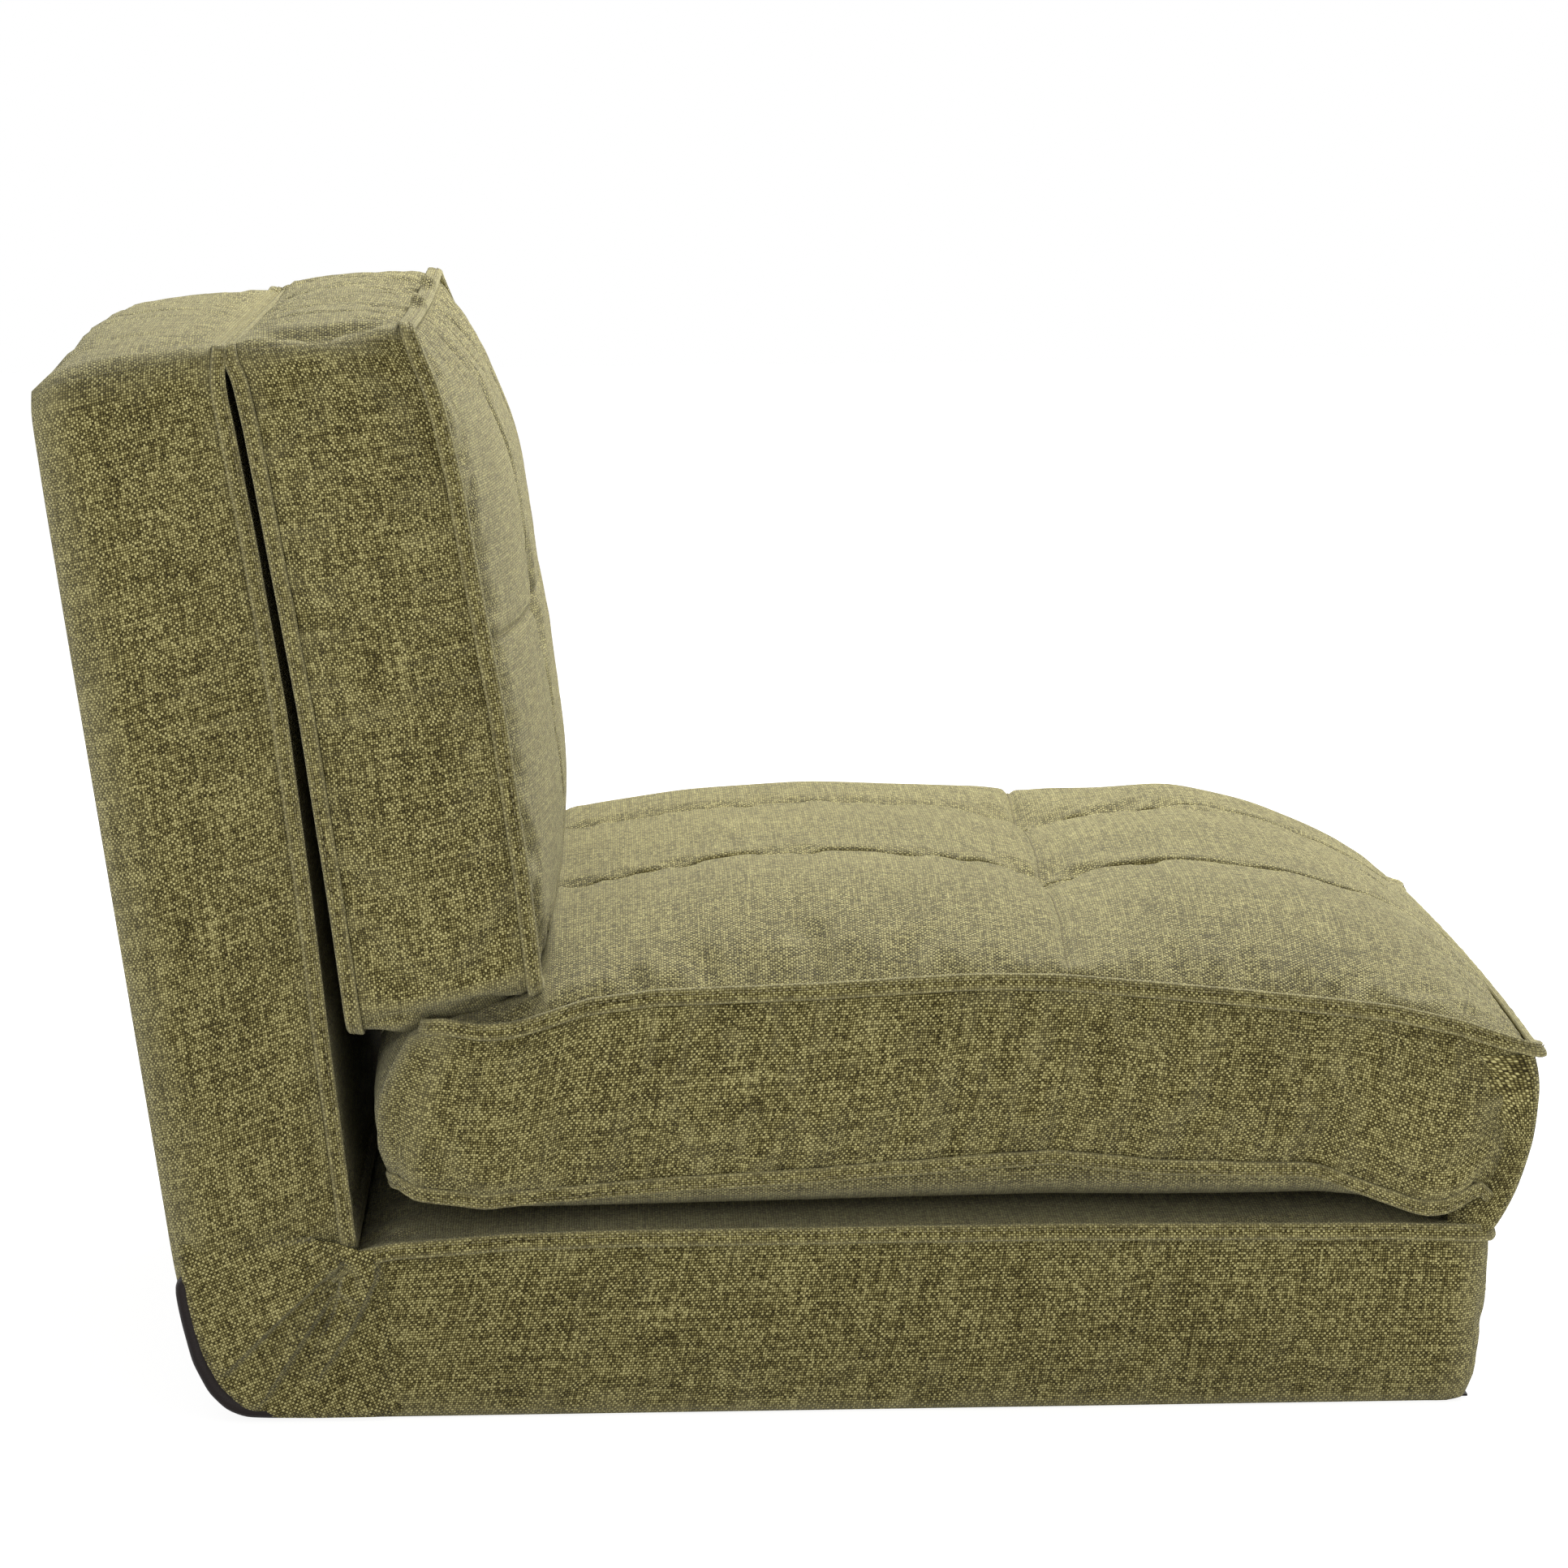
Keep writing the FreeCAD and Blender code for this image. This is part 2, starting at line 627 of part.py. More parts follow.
# Ratchet hinges, one each side: a base plate, a toothed back plate and the pivot rivet.
PIVOT_LEVEL = FreeCAD.Placement(pivot, FreeCAD.Rotation())
PIVOT_LEANING = FreeCAD.Placement(pivot, LEANING.Rotation)
arm_half = size("arm_half")
arm_long = size("arm_long")
plate_radius = size("plate_radius")


def plate(name, low_y, high_y, placement, toothed):
    """A plate with a round end on the pivot and an arm along its body's frame."""
    disc = across(name + "_disc", pivot, "sizes.plate_radius", low_y, high_y, "sizes.plate_thick")
    arm_low, arm_high = (low_y, high_y) if placement is PIVOT_LEVEL else (-high_y, -low_y)
    arm = box(
        name + "_arm", (0, arm_low, -arm_half), (arm_long, arm_high, arm_half), placement,
        long="sizes.arm_long", wide="sizes.plate_thick", tall="2 * sizes.arm_half",
    )
    blank = fused(name + "_blank", [disc, arm])
    through = "sizes.plate_thick + 2 * sizes.over"
    hole = "sizes.rivet_radius + sizes.rivet_ease"
    holes = [across(name + "_hole", pivot, hole, low_y - over, high_y + over, through)]
    if toothed:
        step = math.radians(size("tooth_step_deg"))
        first = lean + math.pi / 2 + math.asin(arm_half / plate_radius) + step
        for tooth in range(int(size("tooth_count"))):
            turn = first + tooth * step
            centre = pivot + Vector(math.cos(turn), 0, math.sin(turn)) * plate_radius
            holes.append(across(
                name + "_gap_%d" % tooth, centre, "sizes.tooth_radius", low_y - over, high_y + over, through
            ))
    return cut(name, blank, fused(name + "_holes", holes))


def rivet(name, low_y, high_y):
    """The shank through both plates, with a flat head at each end."""
    head = size("rivet_head_thick")
    return fused(name, [
        across(
            name + "_shank", pivot, "sizes.rivet_radius", low_y, high_y,
            "2 * sizes.plate_thick + sizes.plate_gap",
        ),
        across(name + "_head_low", pivot, "sizes.rivet_head", low_y - head, low_y, "sizes.rivet_head_thick"),
        across(name + "_head_high", pivot, "sizes.rivet_head", high_y, high_y + head, "sizes.rivet_head_thick"),
    ])


slot_gap = size("slot_gap")
SLOT_LONG = "sizes.arm_long + sizes.slot_gap"
SLOT_WIDE = "2 * (sizes.plate_thick + sizes.rivet_head_thick + sizes.slot_gap) + sizes.plate_gap"
SLOT_TALL = "2 * (sizes.arm_half + sizes.slot_gap)"
base_slots = []
back_slots = []
hinge_nodes = []
for side_name, side in (("left", 1), ("right", -1)):
    def span(low, high, side=side):
        return (low, high) if side > 0 else (-high, -low)

    hinge_nodes += [
        plate("ratchet_base_plate_" + side_name, *span(hinge_y, hinge_y + plate_thick), PIVOT_LEVEL, False),
        plate("ratchet_back_plate_" + side_name, *span(back_plate_y, hinge_outer_y), PIVOT_LEANING, True),
        rivet("pivot_rivet_" + side_name, *span(hinge_y, hinge_outer_y)),
    ]
    slot_low, slot_high = span(slot_low_y, slot_high_y)
    base_slots.append(across(
        "base_slot_roll_" + side_name, pivot, RECESS_RADIUS + " + sizes.over", slot_low, slot_high, SLOT_WIDE
    ))
    base_slots.append(box(
        "base_slot_arm_" + side_name, (pivot.x, slot_low, pivot.z - arm_half - slot_gap),
        (pivot.x + arm_long + slot_gap, slot_high, pivot.z + arm_half + slot_gap),
        long=SLOT_LONG, wide=SLOT_WIDE, tall=SLOT_TALL,
    ))
    back_slots.append(box(
        "back_slot_arm_" + side_name, (0, -slot_high, -arm_half - slot_gap),
        (arm_long + slot_gap, -slot_low, arm_half + slot_gap), PIVOT_LEANING,
        long=SLOT_LONG, wide=SLOT_WIDE, tall=SLOT_TALL,
    ))
base_hinge_room = fused("base_hinge_room", base_slots)
back_hinge_room = fused("back_hinge_room", back_slots)

# Foam and covers, with their channels and slots.
base_foam_slotted = cut("base_foam_slotted", base_foam_box, base_channel)
base_foam = cut("base_foam", base_foam_slotted, base_hinge_room)
base_hollow = fused("base_hollow", [
    box(
        "base_hollow_box", (pivot.x, -foam_side, base_low + foam_in),
        (base_front - foam_end, foam_side, base_seam - foam_in), wide=FOAM_WIDE, tall=BASE_FOAM_TALL,
    ),
    base_hinge_room,
])
base_cover = cut("base_cover", base_block, base_hollow)
back_foam_slotted = cut("back_foam_slotted", back_foam_box, back_channel)
back_foam = cut("back_foam", back_foam_slotted, back_hinge_room)
back_hollow = fused("back_hollow", [
    box(
        "back_hollow_box", (pivot_up + recess_radius + foam_in, -foam_side, back_rear + foam_in),
        (back_high - foam_end, foam_side, back_seam - foam_in), LEANING, wide=FOAM_WIDE, tall=BACK_FOAM_TALL,
    ),
    back_hinge_room,
])
back_cover = cut("back_cover", back_block, back_hollow)
head_foam = cut("head_foam", head_foam_box, swing_room)
head_cover = cut("head_cover", head_block, head_foam_box)
seat_foam = seat_foam_box
seat_cover = cut("seat_cover", seat_block, seat_foam_box)

# Cloth and leather between the cushions.
gusset_half = half_width - size("foam_side_in")
gusset_x = base_front + welt_out + size("hang")
front_gusset = box(
    "front_gusset", (gusset_x, -gusset_half, base_seam),
    (gusset_x + size("gusset_thick"), gusset_half, base_seam + size("gusset_tall") / 2),
    long="sizes.gusset_thick", wide=FOAM_WIDE, tall="sizes.gusset_tall / 2",
)
crease_low = back_seam + back_crown * back_end_share + size("hang")
crease_high = head_rear - head_rear_crown * head_end_share - size("hang")
crease_up = (back_high + head_high) / 2 - end_round
crease_strip = box(
    "crease_strip", (crease_up, -gusset_half, crease_low),
    (crease_up + size("gusset_thick"), gusset_half, crease_high), LEANING,
    long="sizes.gusset_thick", wide=FOAM_WIDE,
)
base_underside = box(
    "base_underside", (pivot.x, -foam_side - foam_in, 0),
    (base_front - end_round, foam_side + foam_in, base_low),
    wide="2 * (sizes.half_width - sizes.foam_side_in + sizes.foam_in)", tall="sizes.underside_thick",
)
wrap_out = across("wrap_out", pivot, "sizes.pivot_in", -half_width, half_width, "2 * sizes.half_width")
wrap_in = across("wrap_in", pivot, WRAP_RADIUS, -floor_half, floor_half, FLOOR_WIDE)
wrap_ring = cut("wrap_ring", wrap_out, wrap_in)
wrap_keep = box(
    "wrap_keep", (pivot.x - pivot_in - over, -floor_half, -over),
    (pivot.x, floor_half, pivot.z - pivot_in * math.sin(lean)), wide=FLOOR_WIDE,
)
corner_wrap = common("corner_wrap", wrap_ring, wrap_keep)

NODES = [
    base_cover, base_foam, base_frame, base_cross_bars, base_top_welt, base_underside, corner_wrap,
    front_gusset, back_cover, back_foam, back_frame, back_cross_bars, back_front_welt, crease_strip,
    head_cover, head_foam, head_front_welt, head_rear_welt,
    seat_cover, seat_foam, seat_top_welt, seat_bottom_welt,
] + hinge_nodes
seat_foam.Label = "seat_foam"

doc.recompute()
for thing in doc.Objects:
    if "Invalid" in thing.State or "Error" in thing.State:
        raise RuntimeError("%s could not be built" % thing.Label)
for node in NODES:
    if node.Shape.isNull() or not node.Shape.isValid():
        raise RuntimeError("%s has no valid shape" % node.Label)
for node in NODES:
    node.Shape.exportStep("parts/%s.step" % node.Label)
    print(
        "%-26s solids %d  litres %.3f  from %s to %s"
        % (
            node.Label, len(node.Shape.Solids), node.Shape.Volume / 100 ** 3,
            [round(v) for v in (node.Shape.BoundBox.XMin, node.Shape.BoundBox.YMin, node.Shape.BoundBox.ZMin)],
            [round(v) for v in (node.Shape.BoundBox.XMax, node.Shape.BoundBox.YMax, node.Shape.BoundBox.ZMax)],
        )
    )
print("pivot", pivot, "seat axis", seat_axis, "head axis", head_axis)
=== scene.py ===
# %% [markdown]
# # A flip-out chair bed in olive cloth
# The chair bed is four padded slabs: a base on the floor, a leaning back, a head cushion folded down in
# front of the back, and a seat cushion folded back over the base. Cloth hinges and a pair of ratchet
# hinges join them. The slabs could be modelled on an empty floor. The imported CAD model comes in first
# instead, as a fixed frame, because every piece has to ride on one of its bodies.

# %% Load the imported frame
import math

import bmesh
import bpy
import numpy as np
from mathutils import Matrix, Vector, noise


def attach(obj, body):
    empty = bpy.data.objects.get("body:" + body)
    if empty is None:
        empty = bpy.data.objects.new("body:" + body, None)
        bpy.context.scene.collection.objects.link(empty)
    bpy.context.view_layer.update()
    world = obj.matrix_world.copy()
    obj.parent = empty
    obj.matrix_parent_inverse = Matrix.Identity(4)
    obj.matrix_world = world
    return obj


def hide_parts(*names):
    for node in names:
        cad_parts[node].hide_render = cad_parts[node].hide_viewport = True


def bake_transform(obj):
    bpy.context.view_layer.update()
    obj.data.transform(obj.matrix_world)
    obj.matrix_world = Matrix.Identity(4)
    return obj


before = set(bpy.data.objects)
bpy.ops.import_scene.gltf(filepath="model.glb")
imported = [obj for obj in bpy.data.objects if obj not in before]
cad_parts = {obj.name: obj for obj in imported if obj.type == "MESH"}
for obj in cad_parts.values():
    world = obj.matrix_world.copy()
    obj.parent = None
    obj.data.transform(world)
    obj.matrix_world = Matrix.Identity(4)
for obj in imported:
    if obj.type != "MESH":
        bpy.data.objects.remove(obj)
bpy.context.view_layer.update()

MM = 0.001

# %% [markdown]
# ## The camera
# The photograph was taken from the side with a long lens, a little above the seat. A camera could be
# moved by eye until the edges fall right. Working its place out from the places of the seams is surer,
# and gave its turn of about half a degree round its own axis too. The object keeps its own size, so only
# the camera is fitted.

# %% Place the camera
CAMERA_PLACE = Vector((-0.0958, -3.825, 0.7397))
CAMERA_YAW, CAMERA_TILT, CAMERA_ROLL = (math.radians(v) for v in (1.4521, 6.7527, -0.6))
LENS_PIXELS, PICTURE_PIXELS = 8575.0, 1932.0
SENSOR_WIDTH, FARTHEST_SEEN = 36.0, 60.0
forward = Vector((math.sin(CAMERA_YAW) * math.cos(CAMERA_TILT),
                  math.cos(CAMERA_YAW) * math.cos(CAMERA_TILT), -math.sin(CAMERA_TILT)))
level_right = Vector((math.cos(CAMERA_YAW), -math.sin(CAMERA_YAW), 0.0))
level_up = level_right.cross(forward)
right = level_right * math.cos(CAMERA_ROLL) + level_up * math.sin(CAMERA_ROLL)
up = level_up * math.cos(CAMERA_ROLL) - level_right * math.sin(CAMERA_ROLL)
turn = Matrix((right, up, -forward)).transposed().to_4x4()
camera_data = bpy.data.cameras.new("photo_camera")
camera_data.sensor_width = SENSOR_WIDTH
camera_data.lens = LENS_PIXELS / PICTURE_PIXELS * SENSOR_WIDTH
camera_data.clip_end = FARTHEST_SEEN
camera = bpy.data.objects.new("photo_camera", camera_data)
camera.matrix_world = Matrix.Translation(CAMERA_PLACE) @ turn
bpy.context.scene.collection.objects.link(camera)
bpy.context.scene.camera = camera
print("lens %.0f mm" % camera_data.lens)

# %% [markdown]
# ## Soft studio light
# A pale floor, a large soft lamp above the far side and a weaker one low beside the camera give the flat,
# bright light of a catalogue picture: tops and fronts are pale and the side that faces the camera is
# darker. A picture of a studio could light the scene too, but two lamps and an even surrounding light can
# each be changed alone. The floor is white to the camera and still takes the object's shadow.

# %% Light and floor
AMBIENT, BACKDROP = 0.46, 1.0
FLOOR_GLOW, FLOOR_GREY = 0.90, (0.30, 0.30, 0.30, 1.0)
FLOOR_BOUNCE = (0.78, 0.78, 0.77, 1.0)
FLOOR_HALF, FLOOR_LEVEL = 9.0, -0.0006
LAMP_AIM_HEIGHT = 0.2
scene = bpy.context.scene
scene.view_settings.view_transform = "Standard"


def node_maker(tree):
    """A short way to add a node, set its values and link its inputs."""
    def add(kind, inputs=None, **settings):
        node = tree.nodes.new(kind)
        for key, value in settings.items():
            setattr(node, key, value)
        for key, value in (inputs or {}).items():
            if isinstance(value, bpy.types.NodeSocket):
                tree.links.new(value, node.inputs[key])
            else:
                node.inputs[key].default_value = value
        return node
    return add


def seen_directly(add):
    """1 for camera, glossy and transmission rays, 0 for the light that bounces between surfaces."""
    path = add("ShaderNodeLightPath")
    first = add("ShaderNodeMath", {0: path.outputs["Is Camera Ray"], 1: path.outputs["Is Glossy Ray"]},
                operation="MAXIMUM")
    return add("ShaderNodeMath", {0: first.outputs[0], 1: path.outputs["Is Transmission Ray"]},
               operation="MAXIMUM").outputs[0]


world = bpy.data.worlds.new("studio")
scene.world = world
world.use_nodes = True
world.node_tree.nodes.clear()
add = node_maker(world.node_tree)
ambient = add("ShaderNodeBackground", {"Color": (1.0, 0.99, 0.975, 1.0), "Strength": AMBIENT})
plain = add("ShaderNodeBackground", {"Color": (1.0, 1.0, 1.0, 1.0), "Strength": BACKDROP})
choice = add("ShaderNodeMixShader", {0: seen_directly(add), 1: ambient.outputs[0], 2: plain.outputs[0]})
add("ShaderNodeOutputWorld", {0: choice.outputs[0]})

floor_finish = bpy.data.materials.new("studio_floor")
floor_finish.use_nodes = True
floor_finish.node_tree.nodes.clear()
add = node_maker(floor_finish.node_tree)
glow = add("ShaderNodeEmission", {"Color": (1.0, 1.0, 1.0, 1.0), "Strength": FLOOR_GLOW})
soft = add("ShaderNodeBsdfDiffuse", {"Color": FLOOR_GREY})
bright = add("ShaderNodeAddShader", {0: glow.outputs[0], 1: soft.outputs[0]})
pale = add("ShaderNodeBsdfDiffuse", {"Color": FLOOR_BOUNCE})
shown = add("ShaderNodeMixShader", {0: seen_directly(add), 1: pale.outputs[0], 2: bright.outputs[0]})
add("ShaderNodeOutputMaterial", {0: shown.outputs[0]})

floor_mesh = bpy.data.meshes.new("studio_floor")
floor_corners = [(x * FLOOR_HALF, y * FLOOR_HALF, FLOOR_LEVEL)
                 for x, y in ((-1, -1), (1, -1), (1, 1), (-1, 1))]
floor_mesh.from_pydata(floor_corners, [], [(0, 1, 2, 3)])
studio_floor = bpy.data.objects.new("studio_floor", floor_mesh)
studio_floor.data.materials.append(floor_finish)
scene.collection.objects.link(studio_floor)


def soft_lamp(name, place, aim, size, watts, tint=(1.0, 0.99, 0.97)):
    """A square area lamp at a place, turned to a point."""
    data = bpy.data.lights.new(name, "AREA")
    data.size, data.energy, data.color = size, watts, tint
    lamp = bpy.data.objects.new(name, data)
    lamp.location = place
    lamp.rotation_euler = (Vector(aim) - Vector(place)).to_track_quat("-Z", "Y").to_euler()
    scene.collection.objects.link(lamp)


soft_lamp("key_above", (0.85, 1.95, 2.25), (0.05, 0.0, LAMP_AIM_HEIGHT), size=1.6, watts=178.0)
soft_lamp("fill_camera_side", (-0.8, -3.0, 0.6), (0.0, 0.0, LAMP_AIM_HEIGHT), size=1.3, watts=31.0)

# %% [markdown]
# ## The cloth
# The cover is a coarse plain weave of heathered olive yarn. Each crossing of two threads is a small bump,
# threads differ in tone, and thicker slubs run along and across as faint streaks. The crowns of the
# threads are painted lighter and the low places between them darker: painted highlight and painted shade
# in the colour. Real threads would be millions of faces, and a picture of cloth would blur from near, so
# nodes draw the weave. They read the piece's own UV map, which is laid out in metres, so the pitch is the
# same on each panel.

# %% The olive weave
THREAD_PITCH = 1.3 * MM
WOBBLE_SCALE, WOBBLE = 160.0, 0.8
CROWNED, FLAT = 0.55, 0.45
SLUB_ACROSS, SLUB_ALONG = 0.7, 0.022
# The "height" share paints light on the thread crowns and shade in the low places between them.
TONE_SHARES = {"fleck": (0.60, -0.28), "slub": (0.62, -0.62), "patch": (0.14, -0.07), "over": (0.36, -0.08),
               "height": (0.80, -0.10)}
PATCH_SCALE, WARP_SEED, WEFT_SEED = 9.0, 3.0, 9.0
# How far convex ridges, such as welts and edges, are mixed towards a paler colour.
RIDGE_PALE_GAIN, RIDGE_PALE_START, RIDGE_PALE_MOST = 6.0, -3.05, 0.35
SLUB_RELIEF, RELIEF_STRENGTH, RELIEF_DEPTH = 0.35, 0.75, 0.6 * MM
CLOTH_SURFACE = {"Roughness": 0.92, "Specular IOR Level": 0.12, "Sheen Weight": 0.42, "Sheen Roughness": 0.45,
                 "Sheen Tint": (0.92, 0.89, 0.64, 1.0)}


def plain_math(add, operation, first, second=None, third=None):
    """One arithmetic step between sockets or numbers."""
    inputs = {0: first}
    if second is not None:
        inputs[1] = second
    if third is not None:
        inputs[2] = third
    return add("ShaderNodeMath", inputs, operation=operation).outputs[0]


def slub_noise(add, u, v, seed):
    """Noise drawn out along one thread direction, as a slub is."""
    where = add("ShaderNodeCombineXYZ", {0: plain_math(add, "MULTIPLY", u, SLUB_ACROSS),
                                         1: plain_math(add, "MULTIPLY", v, SLUB_ALONG), 2: seed})
    return add("ShaderNodeTexNoise", {"Vector": where.outputs[0], "Scale": 1.0, "Detail": 2.0}).outputs["Fac"]


def rounded_thread(add, place):
    """A row of half circles, one to each thread."""
    turn = plain_math(add, "MULTIPLY", place, math.pi)
    return plain_math(add, "ABSOLUTE", plain_math(add, "SINE", turn))


def thread_height(add, across, lengthways):
    """The height of a thread that crowns where it crosses over."""
    crowned = plain_math(add, "MULTIPLY_ADD", lengthways, CROWNED, FLAT)
    return plain_math(add, "MULTIPLY", across, crowned)


def tone_ramp(add, tone, dark, mid, light):
    """Colours from dark to light: thread tones, and painted light and shade on the threads."""
    ramp = add("ShaderNodeValToRGB", {0: tone})
    first, last = ramp.color_ramp.elements
    first.position, first.color = 0.02, dark
    last.position, last.color = 1.0, light
    ramp.color_ramp.elements.new(0.5).color = mid
    return ramp.outputs[0]


def olive_weave(name, dark, mid, light, ridge_colour):
    """A heathered plain weave that reads the piece's UV map in metres."""
    material = bpy.data.materials.new(name)
    material.use_nodes = True
    tree = material.node_tree
    tree.nodes.clear()
    add = node_maker(tree)
    uv = add("ShaderNodeUVMap", uv_map="weave")
    cell = add("ShaderNodeVectorMath", {0: uv.outputs[0], 1: (1 / THREAD_PITCH,) * 3}, operation="MULTIPLY")
    parts = add("ShaderNodeSeparateXYZ", {0: cell.outputs[0]})
    wobble = add("ShaderNodeTexNoise", {"Vector": uv.outputs[0], "Scale": WOBBLE_SCALE, "Detail": 1.0})
    shift = plain_math(add, "MULTIPLY_ADD", wobble.outputs["Fac"], WOBBLE, -WOBBLE / 2)
    u = plain_math(add, "ADD", parts.outputs[0], shift)
    v = plain_math(add, "ADD", parts.outputs[1], plain_math(add, "MULTIPLY", shift, -WOBBLE))
    u_id, v_id = plain_math(add, "FLOOR", u), plain_math(add, "FLOOR", v)
    over = plain_math(add, "FLOORED_MODULO", plain_math(add, "ADD", u_id, v_id), 2.0)
    u_round, v_round = rounded_thread(add, u), rounded_thread(add, v)
    warp_up, weft_up = thread_height(add, u_round, v_round), thread_height(add, v_round, u_round)
    height = add("ShaderNodeMix", {0: over, 2: warp_up, 3: weft_up}).outputs[0]
    cell_id = add("ShaderNodeCombineXYZ", {0: u_id, 1: v_id, 2: 0.0})
    fleck = add("ShaderNodeTexWhiteNoise", {"Vector": cell_id.outputs[0]}, noise_dimensions="2D")
    slub = plain_math(add, "ADD", slub_noise(add, u, v, WARP_SEED), slub_noise(add, v, u, WEFT_SEED))
    patch = add("ShaderNodeTexNoise", {"Vector": uv.outputs[0], "Scale": PATCH_SCALE, "Detail": 3.0})
    sources = {"fleck": fleck.outputs["Value"], "slub": slub, "patch": patch.outputs["Fac"], "over": over,
               "height": height}
    # The height share is painted light on the thread crowns and painted shade between them.
    tones = [plain_math(add, "MULTIPLY_ADD", sources[key], *TONE_SHARES[key]) for key in TONE_SHARES]
    tone = tones[0]
    for more in tones[1:]:
        tone = plain_math(add, "ADD", tone, more)
    yarn_and_crown_light = tone_ramp(add, tone, dark, mid, light)
    geometry = add("ShaderNodeNewGeometry")
    # Convex ridges, such as welts and edges, are mixed towards a paler colour.
    ridge_share = plain_math(add, "MULTIPLY_ADD", geometry.outputs["Pointiness"], RIDGE_PALE_GAIN, RIDGE_PALE_START)
    ridge_share = add("ShaderNodeClamp", {0: ridge_share, "Min": 0.0, "Max": RIDGE_PALE_MOST}).outputs[0]
    colour = add("ShaderNodeMix", {0: ridge_share, 6: yarn_and_crown_light, 7: ridge_colour}, data_type="RGBA")
    relief = plain_math(add, "ADD", height, plain_math(add, "MULTIPLY", slub, SLUB_RELIEF))
    bump = add("ShaderNodeBump", {"Strength": RELIEF_STRENGTH, "Distance": RELIEF_DEPTH, "Height": relief})
    cloth = add("ShaderNodeBsdfPrincipled", {"Base Color": colour.outputs[2], "Normal": bump.outputs[0]})
    for socket, value in CLOTH_SURFACE.items():
        cloth.inputs[socket].default_value = value
    add("ShaderNodeOutputMaterial", {0: cloth.outputs[0]})
    return material


OLIVE = olive_weave("olive_linen", dark=(0.022, 0.016, 0.003, 1), mid=(0.165, 0.138, 0.043, 1),
                    light=(0.60, 0.545, 0.245, 1), ridge_colour=(0.42, 0.38, 0.20, 1))
print("cloth:", OLIVE.name)

# %% [markdown]
# ## Leather-like patch, foam, steel and thread
# The patch under the rear corner is a dark brown coated cloth with a fine grain. Foam, the tube frames
# and the ratchet hinges are hidden, and still get a finish of their own. Each could have a node tree made
# for it. One grained finish with its own tones and sizes each time is enough, because these pieces are
# small or out of sight.

# %% Other finishes
CLOUD_SHARE = 14
GRAIN_TONE, CLOUD_TONE, GRAIN_RELIEF = 0.5, 0.6, 0.5
ROUGH_SPREAD, ROUGH_BELOW = 0.25, 0.12


def grained(name, colour, deep, roughness, scale, depth, metallic=0.0, stretch=(1.0, 1.0, 1.0), gloss=0.5):
    """A finish with a fine grain and a slow change of tone, drawn on Object coordinates."""
    material = bpy.data.materials.new(name)
    material.use_nodes = True
    material.node_tree.nodes.clear()
    add = node_maker(material.node_tree)
    place = add("ShaderNodeTexCoord")
    drawn = add("ShaderNodeMapping", {"Vector": place.outputs["Object"], "Scale": stretch})
    grain = add("ShaderNodeTexVoronoi", {"Vector": drawn.outputs[0], "Scale": scale}).outputs["Distance"]
    cloud = add("ShaderNodeTexNoise", {"Vector": drawn.outputs[0], "Scale": scale / CLOUD_SHARE,
                                       "Detail": 4.0}).outputs["Fac"]
    blend = plain_math(add, "MULTIPLY_ADD", grain, GRAIN_TONE, plain_math(add, "MULTIPLY", cloud, CLOUD_TONE))
    tint = add("ShaderNodeMix", {0: blend, 6: deep, 7: colour}, data_type="RGBA")
    rough = plain_math(add, "MULTIPLY_ADD", cloud, ROUGH_SPREAD, roughness - ROUGH_BELOW)
    bump = add("ShaderNodeBump", {"Strength": GRAIN_RELIEF, "Distance": depth, "Height": grain})
    shader = add("ShaderNodeBsdfPrincipled", {"Base Color": tint.outputs[2], "Roughness": rough,
                                              "Normal": bump.outputs[0]})
    shader.inputs["Metallic"].default_value = metallic
    shader.inputs["Specular IOR Level"].default_value = gloss
    add("ShaderNodeOutputMaterial", {0: shader.outputs[0]})
    return material


LEATHER = grained("brown_coated_cloth", (0.014, 0.009, 0.008, 1), (0.006, 0.004, 0.004, 1),
                  roughness=0.58, scale=900.0, depth=0.0002, gloss=0.2)
FOAM = grained("cream_foam", (0.78, 0.72, 0.50, 1), (0.55, 0.48, 0.28, 1),
               roughness=0.9, scale=700.0, depth=0.0006)
BLACK_STEEL = grained("black_painted_steel", (0.035, 0.035, 0.037, 1), (0.015, 0.015, 0.016, 1),
                      roughness=0.38, scale=520.0, depth=0.00008)
ZINC = grained("zinc_plated_steel", (0.62, 0.62, 0.60, 1), (0.40, 0.40, 0.39, 1),
               roughness=0.33, scale=260.0, depth=0.00005, metallic=1.0, stretch=(1.0, 1.0, 5.0))
THREAD = grained("olive_thread", (0.36, 0.32, 0.165, 1), (0.16, 0.135, 0.055, 1),
                 roughness=0.75, scale=2600.0, depth=0.0001)
FINISH_WORDS = ((("foam",), FOAM), (("frame", "cross_bars"), BLACK_STEEL), (("ratchet", "rivet"), ZINC),
                (("underside", "corner_wrap"), LEATHER))


def finish_of(part):
    """The finish of a CAD node, by the words in its name."""
    for words, finish in FINISH_WORDS:
        if any(word in part for word in words):
            return finish
    return OLIVE


for part, cad_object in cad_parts.items():
    if not cad_object.material_slots:
        cad_object.data.materials.append(finish_of(part))
    for slot in cad_object.material_slots:
        slot.material = finish_of(part)
print("finishes:", len(FINISH_WORDS) + 2)

# %% [markdown]
# ## How a slab cushion is sewn
# A real slab is a block of foam in a sewn cover: two large panels and a strip of boxing round their
# edges, joined along two seams. It could be a rounded box shaped with brushes. Here the panels are laid
# out as grids of points in the slab's own length, width and thickness, in millimetres, and welded where
# they share a seam, because the welts, the gathers and the stitches can then all follow the same seams.

# %% Grids for the panels of a slab
END_PULL_POWER = 6
WELD_STEP = 0.02
TINY = 1e-9


def along(points, a):
    """The height of a seam line at the lengths a."""
    points = np.asarray(points, float)
    return np.interp(a, points[:, 0], points[:, 1])


